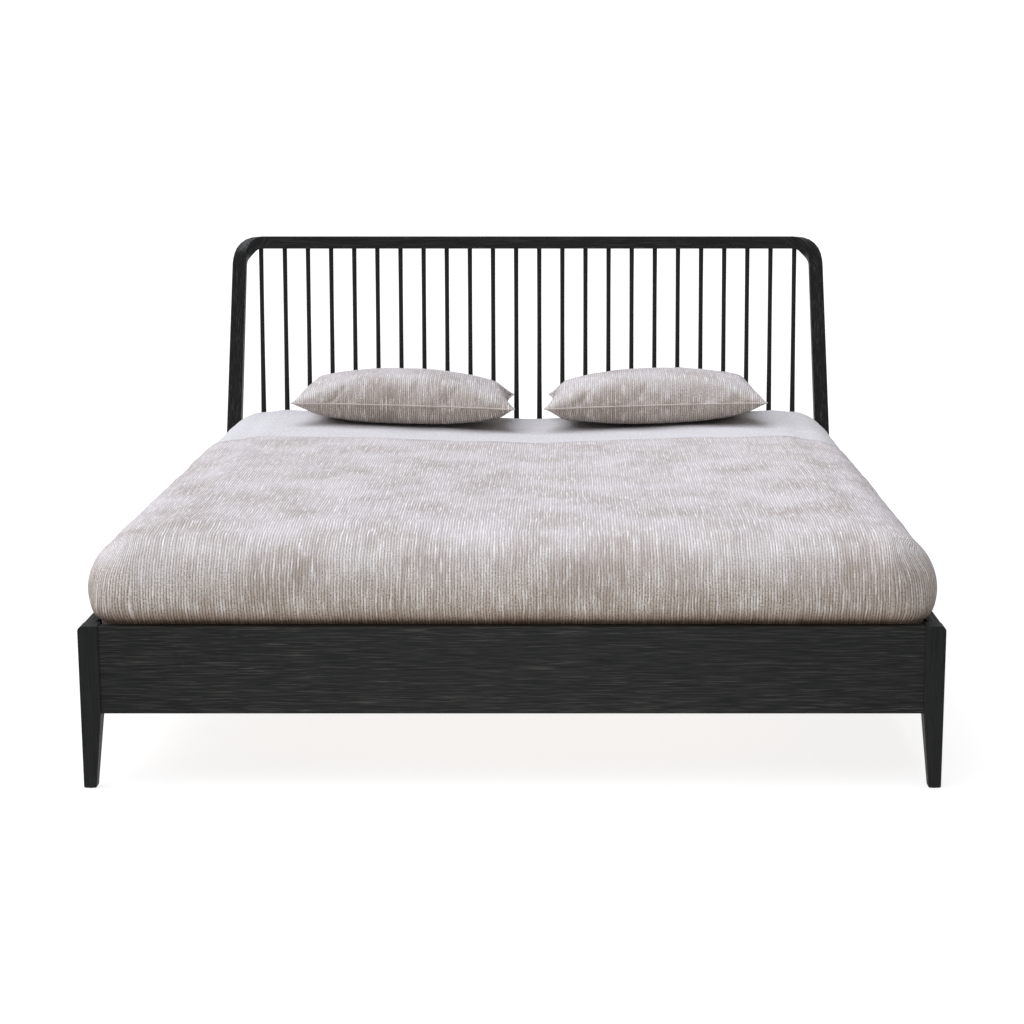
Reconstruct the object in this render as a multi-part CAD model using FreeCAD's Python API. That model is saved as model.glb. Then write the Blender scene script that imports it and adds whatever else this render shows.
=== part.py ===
# Spindle bed in black oak, with its slats, mattress, bedding and two pillows.
#
# Millimetres. X runs across the bed, Y from the foot to the head, Z up from the floor.
# The model is built with Y = 0 on the front faces of the foot legs, and every piece is moved
# back by half of the whole depth as it is written, so that the origin lies on the floor under
# the middle of the bed.
#
# The headboard leans back. Its crest rail, corners and spindles are drawn upright and then
# leaned together about the bend of the head posts.

import FreeCAD
import Part
import math
import os
from FreeCAD import Vector

# ---------------------------------------------------------------- driving dimensions

# The frame as a whole
MATTRESS_WIDTH = 1800.0
MATTRESS_LENGTH = 2000.0
MATTRESS_SIDE_GAP = 17.0    # between mattress and side rails, for the tucked bedding
MATTRESS_FOOT_GAP = 13.0    # between mattress and foot rail
MATTRESS_HEAD_GAP = 19.0    # between mattress and the head posts' front faces
HEAD_HEIGHT = 1090.0        # floor to the top of the crest rail
LEAN = 4.0                  # the headboard's backward lean, in degrees

# Legs
LEG_SIZE = 44.0             # square section of the foot legs and of the posts at rail height
LEG_TOE = 28.0              # the same at the floor: only the two inner faces taper
LEG_STAND = 2.0             # how far the foot legs stand over the rails
LEG_TOP_ROUND = 12.0        # rounding of their outer top edge
LEG_EDGE = 1.8              # planed off the long edges of legs and posts
TOE_CHAMFER = 2.0

# Side, foot and head rails
RAIL_TOP = 368.0
RAIL_HEIGHT = 197.0
RAIL_THICKNESS = 28.0
RAIL_SETBACK = 5.0          # from the outer faces of the legs
RAIL_EDGE = 2.0
TENON_LENGTH = 24.0
TENON_THICKNESS = 12.0
TENON_SHOULDER = 18.0       # left above and below a tenon
TENON_CLEARANCE = 0.1

# Head posts above the rails
POST_BEND = 420.0           # height at which they start to lean back and draw in
POST_DRAW_IN = 31.0         # how far the outer face has moved in at the corner joint
POST_TOP_WIDTH = 41.5
POST_TOP_DEPTH = 30.0
BEND_REACH = 36.0           # half of the height over which they bend
BEND_STEPS = 3

# Crest rail and its twisted corners
CREST_DEPTH = 43.0
CREST_HEIGHT = 38.0
CREST_EDGE = 1.8            # planed off the long edges of rail and corners
CORNER_RADIUS = 72.0        # of the corner's middle line
CORNER_STRAIGHT = 26.3      # from the end of its bend to its joint with the crest rail
TWIST_START = 10.0          # degrees round the bend at which the twist begins
CORNER_STEPS = 8
CORNER_STRAIGHT_STEPS = 2

# Spindles
SPINDLE_COUNT = 24
END_SPINDLE_OUT = 4.7       # how far the end spindles stand outside the start of the corners' bend
END_SPINDLE_GAP = 73.95     # between an end spindle and its neighbour
SPINDLE_TOP_R = 7.1
SPINDLE_WAIST_R = 6.6
SPINDLE_WAIST = 0.7         # where the waist is, as a share of the spindle's height
SPINDLE_FOOT_R = 8.6
SPINDLE_SEAT = 14.0         # depth of the holes that they stand in
SPINDLE_CLEARANCE = 0.1
SPINDLE_RAIL_RISE = 10.0    # of its underside over the posts' bend
SPINDLE_RAIL_HEIGHT = 40.0
SPINDLE_RAIL_DEPTH = 34.0

# Dowels, corner brackets and bolts
DOWEL_R = 4.0
DOWEL_LENGTH = 40.0
DOWEL_SPREAD = 17.0
DOWEL_CLEARANCE = 0.1
RAIL_DOWEL_R = 5.0
RAIL_DOWEL_LENGTH = 34.0
RAIL_DOWEL_SPREAD = 110.0
BRACKET_REACH = 62.0        # from the corner of the rails to where the plate meets a rail
BRACKET_TAB = 32.0
BRACKET_HEIGHT = 50.0
BRACKET_THICKNESS = 3.0
BRACKET_RISE = 29.0         # of its bolt over the underside of the rails
BOLT_R = 4.0
BOLT_DEPTH = 20.0           # in the leg
BOLT_CLEARANCE = 0.1
NUT_ACROSS = 13.0
NUT_HEIGHT = 6.5

# Slat base
LEDGE_SIZE = 30.0
LEDGE_GAP = 95.0            # from the frame's inner ends to the ledge's ends
LEDGE_RISE = 59.0           # of the ledges' top over the underside of the rails
SLAT_THICKNESS = 18.0
SLAT_WIDTH = 70.0
SLAT_COUNT = 14
SLAT_EASE = 2.0             # chamfer of the slats' edges
SLAT_END_GAP = 3.0          # between a slat's end and the side rail
SLAT_FIRST = 90.0           # from the foot rail to the middle of the first slat
STRAP_WIDTH = 25.0
STRAP_THICKNESS = 1.6
STRAP_IN = 170.0            # from each end of a slat
BEAM_WIDTH = 45.0
BEAM_HEIGHT = 55.0
SHOE_THICKNESS = 3.0
SHOE_DEPTH = 40.0
SHOE_WALL = 45.0
CENTRE_LEG_SIZE = 40.0
CENTRE_LEG_TOE = 30.0
CENTRE_LEG_Y = (750.0, 1400.0)
STUD_LENGTH = 60.0
GLIDE_R = 9.0
GLIDE_HEIGHT = 6.0
GLIDE_PROUD = 1.5

# Mattress and bedding
MATTRESS_HEIGHT = 240.0
MATTRESS_CORNER = 55.0
MATTRESS_EDGE = 18.0
QUILT_TUCK_DEPTH = 6.0      # how far the quilt reaches down inside the rails
COVERLET_TUCK_DEPTH = 68.0  # and the coverlet
BEDDING_GAP = 2.0           # between the tucked bedding and the rails
BEDDING_BULGE = 34.0        # how far it swells out over the rails
BULGE_RISE = 62.0           # of its widest line over the rails
SHOULDER_RADIUS = 128.0
HEAD_SHOULDER_RADIUS = 70.0
TUCK_CORNER = 46.0          # plan radius of the bedding's corners where it is tucked in
CORNER_SPREAD = 0.35        # growth of that radius with each millimetre of height or draw-in
CROWN_RISE = 10.0           # of the top behind its shoulder
CROWN_IN = 200.0            # from the widest line to the end of that rise
HEAD_CROWN_IN = 110.0
DIP = 35.0                  # hollow down the middle of the top, at the head
COVERLET_THICKNESS = 4.0
COVERLET_LENGTH = 1440.0    # from the foot of the bed to its loose edge
SHOULDER_STEPS = 4
BULGE_STEPS = 2

# Pillows
PILLOW_WIDTH = 690.0
PILLOW_DEPTH = 400.0
PILLOW_HEIGHT = 150.0
PILLOW_X = 363.0
PILLOW_HEAD_GAP = 8.0       # to the spindles
PILLOW_SEAM = 0.42          # height of the seam, as a share of the pillow's
PILLOW_SAG = 14.0           # how far the sides pull in between the corners at the seam
PILLOW_PUFF = 20.0          # how much less that is at the top of the crown
PILLOW_DRAW = 172.0         # reach of the crown from the seam towards the middle
PILLOW_ROUNDNESS = 1.8
PILLOW_CORNER = 34.0
PILLOW_LEVELS = (0.0, 0.4, 0.72, 0.9, 0.97)

REST_GAP = 0.3              # between pieces that lie on each other and lift off

# ---------------------------------------------------------------- values worked out from them

HALF_WIDTH = MATTRESS_WIDTH / 2 + MATTRESS_SIDE_GAP + RAIL_THICKNESS + RAIL_SETBACK
MATTRESS_FOOT_Y = RAIL_SETBACK + RAIL_THICKNESS + MATTRESS_FOOT_GAP
FRAME_LENGTH = MATTRESS_FOOT_Y + MATTRESS_LENGTH + MATTRESS_HEAD_GAP   # foot legs' to posts' fronts
LEG_INNER = HALF_WIDTH - LEG_SIZE
RAIL_OUTER = HALF_WIDTH - RAIL_SETBACK
RAIL_INNER = RAIL_OUTER - RAIL_THICKNESS
RAIL_BOTTOM = RAIL_TOP - RAIL_HEIGHT
LEG_TOP = RAIL_TOP + LEG_STAND
BRACKET_MIDDLE = RAIL_BOTTOM + BRACKET_RISE
SPINDLE_RAIL_BOTTOM = POST_BEND + SPINDLE_RAIL_RISE
FOOT_RAIL_BACK = RAIL_SETBACK + RAIL_THICKNESS
POST_BACK = FRAME_LENGTH + LEG_SIZE
HEAD_RAIL_BACK = POST_BACK - RAIL_SETBACK
HEAD_RAIL_FRONT = HEAD_RAIL_BACK - RAIL_THICKNESS

LEAN_COS = math.cos(math.radians(LEAN))
LEAN_SIN = math.sin(math.radians(LEAN))
HEAD_Y = FRAME_LENGTH + POST_TOP_DEPTH / 2
CREST_TOP = POST_BEND + (HEAD_HEIGHT - POST_BEND) / LEAN_COS
CREST_MIDDLE = CREST_TOP - CREST_HEIGHT / 2
CREST_BOTTOM = CREST_TOP - CREST_HEIGHT
CORNER_CENTRE_Z = CREST_MIDDLE - CORNER_RADIUS
POST_TOP_X = HALF_WIDTH - POST_DRAW_IN - POST_TOP_WIDTH / 2
POST_SLANT = math.atan2(HALF_WIDTH - LEG_SIZE / 2 - POST_TOP_X, CORNER_CENTRE_Z - POST_BEND)
CORNER_CENTRE_X = POST_TOP_X - CORNER_RADIUS * math.cos(POST_SLANT)
CREST_HALF_LENGTH = CORNER_CENTRE_X - CORNER_STRAIGHT
END_SPINDLE_X = CORNER_CENTRE_X + END_SPINDLE_OUT
SPINDLE_PITCH = 2 * (END_SPINDLE_X - END_SPINDLE_GAP) / (SPINDLE_COUNT - 3)
WHOLE_DEPTH = (FRAME_LENGTH
               + (HEAD_Y + CREST_DEPTH / 2 - FRAME_LENGTH) * LEAN_COS
               + (CREST_TOP - POST_BEND) * LEAN_SIN)

SLAT_BOTTOM = RAIL_BOTTOM + LEDGE_RISE
SLAT_REST = SLAT_BOTTOM + REST_GAP          # underside of the slats as they lie
SLAT_TOP = SLAT_REST + SLAT_THICKNESS
MATTRESS_BOTTOM = SLAT_TOP + REST_GAP
MATTRESS_TOP = MATTRESS_BOTTOM + MATTRESS_HEIGHT
QUILT_TUCK = RAIL_TOP - QUILT_TUCK_DEPTH
COVERLET_TUCK = RAIL_TOP - COVERLET_TUCK_DEPTH
BULGE_HEIGHT = RAIL_TOP + BULGE_RISE
BEDDING_HALF = RAIL_INNER - BEDDING_GAP + BEDDING_BULGE
BEDDING_FOOT = FOOT_RAIL_BACK + BEDDING_GAP - BEDDING_BULGE
BEDDING_HEAD = FRAME_LENGTH - 3 * BEDDING_GAP
BEDDING_TOP = BULGE_HEIGHT + SHOULDER_RADIUS
CROWN_TOP = BEDDING_TOP + CROWN_RISE
DIP_HALF = BEDDING_HALF - CROWN_IN           # half width of the hollow at the head
DIP_START = BEDDING_FOOT + CROWN_IN          # where it begins near the foot
DIP_CROSS_SLOPE = DIP / DIP_HALF
DIP_LONG_SLOPE = -DIP / (BEDDING_HEAD - DIP_START)
QUILT_UNDER = COVERLET_THICKNESS + REST_GAP  # from the bedding's outer form in to the quilt

ACROSS = Vector(1, 0, 0)
ALONG = Vector(0, 1, 0)
UP = Vector(0, 0, 1)

# ---------------------------------------------------------------- helpers


def rounded_wire(corners, radii):
    """A closed flat wire through the corners, each rounded by its radius; 0 leaves it sharp."""
    cuts = []
    for i, (corner, radius) in enumerate(zip(corners, radii)):
        back = (corners[i - 1] - corner).normalize()
        ahead = (corners[(i + 1) % len(corners)] - corner).normalize()
        half = back.getAngle(ahead) / 2
        reach = radius / math.tan(half)
        inward = (back + ahead).normalize() if radius else Vector()
        middle = corner + inward * (radius / math.sin(half) - radius)
        cuts.append((corner + back * reach, middle, corner + ahead * reach, radius))
    edges = []
    for i, (start, middle, end, radius) in enumerate(cuts):
        if radius:
            edges.append(Part.Arc(start, middle, end).toShape())
        following = cuts[(i + 1) % len(cuts)][0]
        edges.append(Part.LineSegment(end, following).toShape())
    return Part.Wire(edges)


def rectangle(centre, side, rise, width, height, radius):
    """A rounded rectangle about a centre, in the plane of two unit vectors."""
    u = side * (width / 2)
    v = rise * (height / 2)
    corners = [centre - u - v, centre + u - v, centre + u + v, centre - u + v]
    return rounded_wire(corners, [radius] * 4)


def eased_rectangle(centre, side, rise, width, height, ease):
    """A rectangle about a centre with its corners cut off straight, as with a hand plane."""
    u, v = side * (width / 2), rise * (height / 2)
    du, dv = side * ease, rise * ease
    corners = [centre - u - v + du, centre + u - v - du, centre + u - v + dv, centre + u + v - dv,
               centre + u + v - du, centre - u + v + du, centre - u + v - dv, centre - u - v + dv]
    return rounded_wire(corners, [0] * len(corners))


def prism(wire, length):
    """A flat wire's face, pushed along a vector."""
    return Part.Face(wire).extrude(length)


def bar(start, end, side, rise, width, height, radius=0.0):
    """A straight bar between two points with a rounded section."""
    return prism(rectangle(start, side, rise, width, height, radius), end - start)


def block(low, high):
    """A plain box between two corners."""
    size = high - low
    return Part.makeBox(size.x, size.y, size.z, low)


def rod(start, end, radius):
    """A round rod between two points."""
    way = end - start
    return Part.makeCylinder(radius, way.Length, start, way)


def mirrored(shape):
    """The same piece on the other side of the bed."""
    return shape.mirror(Vector(), ACROSS)


def lean(shape):
    """An upright headboard piece, leaned back about the bend of the posts."""
    leaned = shape.copy()
    leaned.rotate(Vector(0, FRAME_LENGTH, POST_BEND), ACROSS, -LEAN)
    return leaned


def written(name, shape):
    """Moves a piece into the part's own frame and writes it."""
    placed = shape.copy()
    placed.translate(Vector(0, -WHOLE_DEPTH / 2, 0))
    placed.exportStep("parts/" + name + ".step")


# ---------------------------------------------------------------- legs and posts


def corner_point(side, end):
    """The inner corner of a leg, on the side -1 or 1 and at the end 'foot' or 'head'."""
    return Vector(side * LEG_INNER, LEG_SIZE if end == "foot" else FRAME_LENGTH, BRACKET_MIDDLE)


def bolt_way(side, end):
    """The level direction from a leg's inner corner into the bed."""
    return Vector(-side, 1 if end == "foot" else -1, 0).normalize()


def bolt_hole(side, end):
    """The hole for the corner bolt in a leg or post."""
    corner = corner_point(side, end)
    way = bolt_way(side, end)
    return rod(corner - way * BOLT_DEPTH, corner + way * BOLT_DEPTH, BOLT_R + BOLT_CLEARANCE)


def glide_hole(x, y):
    """The seat of a glide in the underside of a leg."""
    return rod(Vector(x, y, 0), Vector(x, y, GLIDE_HEIGHT), GLIDE_R + DOWEL_CLEARANCE)


def toe_middle(inner, outer):
    """The middle of a leg's toe between the face that tapers and the one that doesn't."""
    return outer + (inner - outer) / abs(inner - outer) * LEG_TOE / 2


def leg_section(xs, ys, z, smaller=0.0):
    """A leg's level section between two x and two y places, with rounded corners."""
    middle = Vector(sum(xs) / 2, sum(ys) / 2, z)
    width, depth = abs(xs[1] - xs[0]) - 2 * smaller, abs(ys[1] - ys[0]) - 2 * smaller
    return eased_rectangle(middle, ACROSS, ALONG, width, depth, LEG_EDGE)


def toe_sections(outer_y, inner_y):
    """The sections of a leg from its chamfered toe up to the underside of the rails."""
    x = HALF_WIDTH - LEG_TOE
    y = outer_y + (inner_y - outer_y) / abs(inner_y - outer_y) * LEG_TOE
    return [leg_section((x, HALF_WIDTH), (outer_y, y), GLIDE_PROUD, TOE_CHAMFER),
            leg_section((x, HALF_WIDTH), (outer_y, y), GLIDE_PROUD + TOE_CHAMFER),
            leg_section((LEG_INNER, HALF_WIDTH), (outer_y, inner_y), RAIL_BOTTOM)]


def rail_dowel_places(side, end):
    """The middles of the two dowels between a side rail and a leg."""
    y = LEG_SIZE if end == "foot" else FRAME_LENGTH
    x = side * (RAIL_INNER + RAIL_THICKNESS / 2)
    middle = RAIL_BOTTOM + RAIL_HEIGHT / 2
    return [Vector(x, y, middle + sign * RAIL_DOWEL_SPREAD / 2) for sign in (-1, 1)]


def rail_dowel(place, clearance=0.0):
    """A dowel that lies along the bed, or its hole."""
    half = ALONG * (RAIL_DOWEL_LENGTH / 2 + clearance)
    return rod(place - half, place + half, RAIL_DOWEL_R + clearance)


def rail_tenon(face_x, y, clearance=0.0):
    """The tenon of the foot or head rail at one end, or its mortise."""
    reach = TENON_LENGTH + clearance
    half = TENON_THICKNESS / 2 + clearance
    low = RAIL_BOTTOM + TENON_SHOULDER - clearance
    high = RAIL_TOP - TENON_SHOULDER + clearance
    outward = reach if face_x > 0 else -reach
    xs = sorted((face_x - outward / TENON_LENGTH, face_x + outward))
    return block(Vector(xs[0], y - half, low), Vector(xs[1], y + half, high))


def foot_leg():
    """The foot leg on the +X side."""
    sections = toe_sections(0.0, LEG_SIZE)
    sections.append(leg_section((LEG_INNER, HALF_WIDTH), (0.0, LEG_SIZE), LEG_TOP))
    leg = Part.makeLoft(sections, True, True)
    corners = [Vector(0, 0, 0), Vector(HALF_WIDTH, 0, 0),
               Vector(HALF_WIDTH, 0, LEG_TOP), Vector(0, 0, LEG_TOP)]
    leg = leg.common(prism(rounded_wire(corners, [0, 0, LEG_TOP_ROUND, 0]), ALONG * LEG_SIZE))
    foot_rail_middle = RAIL_SETBACK + RAIL_THICKNESS / 2
    holes = [rail_tenon(LEG_INNER, foot_rail_middle, TENON_CLEARANCE), bolt_hole(1, "foot")]
    holes += [rail_dowel(place, DOWEL_CLEARANCE) for place in rail_dowel_places(1, "foot")]
    holes.append(glide_hole(toe_middle(LEG_INNER, HALF_WIDTH), toe_middle(LEG_SIZE, 0.0)))
    for hole in holes:
        leg = leg.cut(hole)
    return leg


def bend_ramp(z):
    """Height over the posts' bend, which starts gently over the length of the bend."""
    over = z - POST_BEND
    if abs(over) < BEND_REACH:
        return (over + BEND_REACH) ** 2 / (4 * BEND_REACH)
    return max(over, 0.0)


def post_section(z):
    """The head post's level section above the rails."""
    ramp = bend_ramp(z)
    drawn = ramp / (CORNER_CENTRE_Z - POST_BEND)
    outer = HALF_WIDTH - POST_DRAW_IN * drawn
    inner = outer - LEG_SIZE + (LEG_SIZE - POST_TOP_WIDTH) * drawn
    front = FRAME_LENGTH + ramp * LEAN_SIN / LEAN_COS
    back = front + LEG_SIZE - (LEG_SIZE - POST_TOP_DEPTH) * drawn
    return leg_section((inner, outer), (front, back), z)


def head_post():
    """The rear leg and leaning upright on the +X side, in one piece."""
    sections = toe_sections(POST_BACK, FRAME_LENGTH)
    for step in range(-BEND_STEPS, BEND_STEPS + 1):
        sections.append(post_section(POST_BEND + BEND_REACH * step / BEND_STEPS))
    sections.append(post_section(CREST_TOP))     # drawn past the corner joint, then cut there
    post = Part.makeLoft(sections, True, True).cut(lean(above_corner_joint()))
    head_rail_middle = HEAD_RAIL_FRONT + RAIL_THICKNESS / 2
    holes = [rail_tenon(LEG_INNER, head_rail_middle, TENON_CLEARANCE), bolt_hole(1, "head")]
    holes.append(lean(spindle_rail_tenon(TENON_CLEARANCE)))
    holes += [rail_dowel(place, DOWEL_CLEARANCE) for place in rail_dowel_places(1, "head")]
    holes += [lean(dowel) for dowel in post_dowels(DOWEL_CLEARANCE)]
    holes.append(glide_hole(toe_middle(LEG_INNER, HALF_WIDTH), toe_middle(FRAME_LENGTH, POST_BACK)))
    for hole in holes:
        post = post.cut(hole)
    return post


# ---------------------------------------------------------------- headboard


def corner_station(angle):
    """Middle, outward direction and way of the corner's middle line, at an angle round its bend."""
    outward = ACROSS * math.cos(angle) + UP * math.sin(angle)
    way = UP * math.cos(angle) - ACROSS * math.sin(angle)
    centre = Vector(CORNER_CENTRE_X, HEAD_Y, CORNER_CENTRE_Z)
    return centre + outward * CORNER_RADIUS, outward, way


def above_corner_joint():
    """All that lies above the joint between an upright post and its corner piece."""
    middle, outward, way = corner_station(POST_SLANT)
    return bar(middle, middle + way * CREST_TOP, outward, ALONG, HALF_WIDTH, HALF_WIDTH)


def eased(share):
    """Smooth change from 0 to 1."""
    share = min(max(share, 0.0), 1.0)
    return share * share * (3 - 2 * share)


def corner_section(middle, outward, done, twist):
    """The corner piece's section; its front face turns to the top as the twist goes to 90."""
    turn = math.radians(twist)
    width_way = outward * math.cos(turn) + ALONG * math.sin(turn)
    depth_way = ALONG * math.cos(turn) - outward * math.sin(turn)
    width = POST_TOP_WIDTH + (CREST_DEPTH - POST_TOP_WIDTH) * done
    depth = POST_TOP_DEPTH + (CREST_HEIGHT - POST_TOP_DEPTH) * done
    return eased_rectangle(middle, width_way, depth_way, width, depth, CREST_EDGE)


def crest_corner():
    """The machined corner on the +X side: it bends from post to rail and twists by a quarter turn."""
    sections = []
    for step in range(CORNER_STEPS + 1):
        done = step / CORNER_STEPS
        angle = POST_SLANT + (math.pi / 2 - POST_SLANT) * done
        middle, outward, way = corner_station(angle)
        degrees = math.degrees(angle)
        twist = 90 * eased((degrees - TWIST_START) / (90 - TWIST_START))
        sections.append(corner_section(middle, outward, done, twist))
    straight = CORNER_CENTRE_X - CREST_HALF_LENGTH
    for step in range(1, CORNER_STRAIGHT_STEPS + 1):
        x = CORNER_CENTRE_X - straight * step / CORNER_STRAIGHT_STEPS
        sections.append(corner_section(Vector(x, HEAD_Y, CREST_MIDDLE), UP, 1.0, 90))
    corner = Part.makeLoft(sections, True, True)
    corner = corner.cut(spindle_hole(END_SPINDLE_X))
    for dowel in post_dowels(DOWEL_CLEARANCE) + crest_dowels(DOWEL_CLEARANCE):
        corner = corner.cut(dowel)
    return corner


def post_dowels(clearance=0.0):
    """The two upright dowels between post and corner, or their holes, before they lean."""
    middle, outward, way = corner_station(POST_SLANT)
    half = way * (DOWEL_LENGTH / 2 + clearance)
    places = [middle + outward * (sign * DOWEL_SPREAD / 2) for sign in (-1, 1)]
    return [rod(place - half, place + half, DOWEL_R + clearance) for place in places]


def crest_dowels(clearance=0.0):
    """The two level dowels between corner and crest rail, or their holes, before they lean."""
    half = ACROSS * (DOWEL_LENGTH / 2 + clearance)
    middle = Vector(CREST_HALF_LENGTH, HEAD_Y, CREST_MIDDLE)
    places = [middle + ALONG * (sign * DOWEL_SPREAD / 2) for sign in (-1, 1)]
    return [rod(place - half, place + half, DOWEL_R + clearance) for place in places]


def spindle_places():
    """Where the spindles stand across the bed, from left to right."""
    inner = SPINDLE_COUNT - 2
    row = [(i - (inner - 1) / 2) * SPINDLE_PITCH for i in range(inner)]
    return [-END_SPINDLE_X] + row + [END_SPINDLE_X]


SPINDLE_RAIL_TOP = SPINDLE_RAIL_BOTTOM + SPINDLE_RAIL_HEIGHT


def spindle_hole(x):
    """The hole that takes a spindle's top."""
    return rod(Vector(x, HEAD_Y, CREST_BOTTOM - CREST_HEIGHT),
               Vector(x, HEAD_Y, CREST_BOTTOM + SPINDLE_SEAT + SPINDLE_CLEARANCE),
               SPINDLE_TOP_R + SPINDLE_CLEARANCE)


def spindle_socket(x):
    """The hole that takes a spindle's foot."""
    return rod(Vector(x, HEAD_Y, SPINDLE_RAIL_TOP - SPINDLE_SEAT - SPINDLE_CLEARANCE),
               Vector(x, HEAD_Y, SPINDLE_RAIL_TOP + SPINDLE_SEAT),
               SPINDLE_FOOT_R + SPINDLE_CLEARANCE)


def spindle(x):
    """A turned spindle: thick at the foot, slim above the middle, slightly thicker at the top."""
    low, high = SPINDLE_RAIL_TOP, CREST_BOTTOM
    axis = Vector(x, HEAD_Y, 0)
    foot = axis + Vector(SPINDLE_FOOT_R, 0, low)
    waist = axis + Vector(SPINDLE_WAIST_R, 0, low + (high - low) * SPINDLE_WAIST)
    head = axis + Vector(SPINDLE_TOP_R, 0, high)
    seat = UP * SPINDLE_SEAT
    bottom, top = axis + UP * low - seat, axis + UP * high + seat
    outline = [
        Part.LineSegment(bottom, foot - seat),
        Part.LineSegment(foot - seat, foot),
        Part.Arc(foot, waist, head),
        Part.LineSegment(head, head + seat),
        Part.LineSegment(head + seat, top),
        Part.LineSegment(top, bottom),
    ]
    wire = Part.Wire([edge.toShape() for edge in outline])
    return Part.Face(wire).revolve(axis, UP, 360)


def crest_rail():
    """The straight top rail, with the spindles' holes in its underside."""
    end = Vector(CREST_HALF_LENGTH, HEAD_Y, CREST_MIDDLE)
    start = Vector(-CREST_HALF_LENGTH, HEAD_Y, CREST_MIDDLE)
    section = eased_rectangle(start, ALONG, UP, CREST_DEPTH, CREST_HEIGHT, CREST_EDGE)
    rail = prism(section, end - start)
    holes = [spindle_hole(x) for x in spindle_places()[1:-1]]
    for dowel in crest_dowels(DOWEL_CLEARANCE):
        holes += [dowel, mirrored(dowel)]
    return rail.cut(Part.makeCompound(holes))


def spindle_rail_tenon(clearance=0.0):
    """The tenon of the spindle rail at its +X end, or its mortise, before it leans."""
    half = TENON_THICKNESS / 2 + clearance
    low = SPINDLE_RAIL_BOTTOM + TENON_CLEARANCE + RAIL_EDGE * 2 - clearance
    high = SPINDLE_RAIL_TOP - TENON_CLEARANCE - RAIL_EDGE * 2 + clearance
    return block(Vector(LEG_INNER - TENON_LENGTH, HEAD_Y - half, low),
                 Vector(LEG_INNER + TENON_LENGTH / 2 + clearance, HEAD_Y + half, high))


def spindle_rail(post_blank):
    """The lower rail behind the mattress that takes the spindles' feet."""
    middle = SPINDLE_RAIL_BOTTOM + SPINDLE_RAIL_HEIGHT / 2
    start = Vector(-LEG_INNER, HEAD_Y, middle)
    end = Vector(LEG_INNER, HEAD_Y, middle)
    rail = bar(start, end, ALONG, UP, SPINDLE_RAIL_DEPTH, SPINDLE_RAIL_HEIGHT, RAIL_EDGE)
    rail = rail.cut(Part.makeCompound([spindle_socket(x) for x in spindle_places()]))
    rail = lean(rail).cut(post_blank).cut(mirrored(post_blank))
    tenon = lean(spindle_rail_tenon())
    return rail.fuse([tenon, mirrored(tenon)]).removeSplitter()


# ---------------------------------------------------------------- rails


def cross_rail(front_y):
    """The foot or head rail, with a tenon at each end."""
    middle = Vector(0, front_y + RAIL_THICKNESS / 2, RAIL_BOTTOM + RAIL_HEIGHT / 2)
    reach = ACROSS * LEG_INNER
    rail = bar(middle - reach, middle + reach, ALONG, UP, RAIL_THICKNESS, RAIL_HEIGHT, RAIL_EDGE)
    tenons = [rail_tenon(side * LEG_INNER, middle.y) for side in (-1, 1)]
    return rail.fuse(tenons).removeSplitter()


def side_rail():
    """The side rail on the +X side."""
    x = RAIL_INNER + RAIL_THICKNESS / 2
    z = RAIL_BOTTOM + RAIL_HEIGHT / 2
    rail = bar(Vector(x, LEG_SIZE, z), Vector(x, FRAME_LENGTH, z),
               ACROSS, UP, RAIL_THICKNESS, RAIL_HEIGHT, RAIL_EDGE)
    for end in ("foot", "head"):
        for place in rail_dowel_places(1, end):
            rail = rail.cut(rail_dowel(place, DOWEL_CLEARANCE))
    return rail


def slat_ledge():
    """The batten on the side rail's inner face that carries the slats."""
    x = RAIL_INNER - LEDGE_SIZE / 2
    z = SLAT_BOTTOM - LEDGE_SIZE / 2
    return bar(Vector(x, FOOT_RAIL_BACK + LEDGE_GAP, z), Vector(x, HEAD_RAIL_FRONT - LEDGE_GAP, z),
               ACROSS, UP, LEDGE_SIZE, LEDGE_SIZE, RAIL_EDGE)


# ---------------------------------------------------------------- fittings


def corner_bracket(side, end):
    """A bent steel plate across an inner corner of the frame, drawn to the leg by a bolt."""
    rail_y = FOOT_RAIL_BACK if end == "foot" else HEAD_RAIL_FRONT
    inward = 1 if end == "foot" else -1
    corner = Vector(side * RAIL_INNER, rail_y, BRACKET_MIDDLE - BRACKET_HEIGHT / 2)
    u, v = ACROSS * -side, ALONG * inward
    reach, tab, thick = BRACKET_REACH, BRACKET_TAB, BRACKET_THICKNESS
    bend = thick * math.tan(math.radians(22.5))
    outer = [(reach + tab, 0), (reach, 0), (0, reach), (0, reach + tab)]
    inner = [(thick, reach + tab), (thick, reach + bend), (reach + bend, thick), (reach + tab, thick)]
    corners = [corner + u * a + v * b for a, b in outer + inner]
    plate = prism(rounded_wire(corners, [0] * len(corners)), UP * BRACKET_HEIGHT)
    start = corner_point(side, end)
    hole = rod(start, start + bolt_way(side, end) * BRACKET_REACH, BOLT_R + BOLT_CLEARANCE)
    return plate.cut(hole)


def bracket_face(side, end):
    """The point where a corner bolt leaves the inner face of its bracket."""
    corner = corner_point(side, end)
    rail_corner_gap = LEG_SIZE - RAIL_SETBACK - RAIL_THICKNESS
    from_leg = BRACKET_REACH / math.sqrt(2) - rail_corner_gap * math.sqrt(2)
    return corner + bolt_way(side, end) * (from_leg + BRACKET_THICKNESS)


def corner_bolt(side, end):
    """The stud that ties a bracket to its leg."""
    way = bolt_way(side, end)
    start = corner_point(side, end) - way * (BOLT_DEPTH - BOLT_CLEARANCE)
    return rod(start, bracket_face(side, end) + way * (2 * NUT_HEIGHT), BOLT_R)


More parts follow.
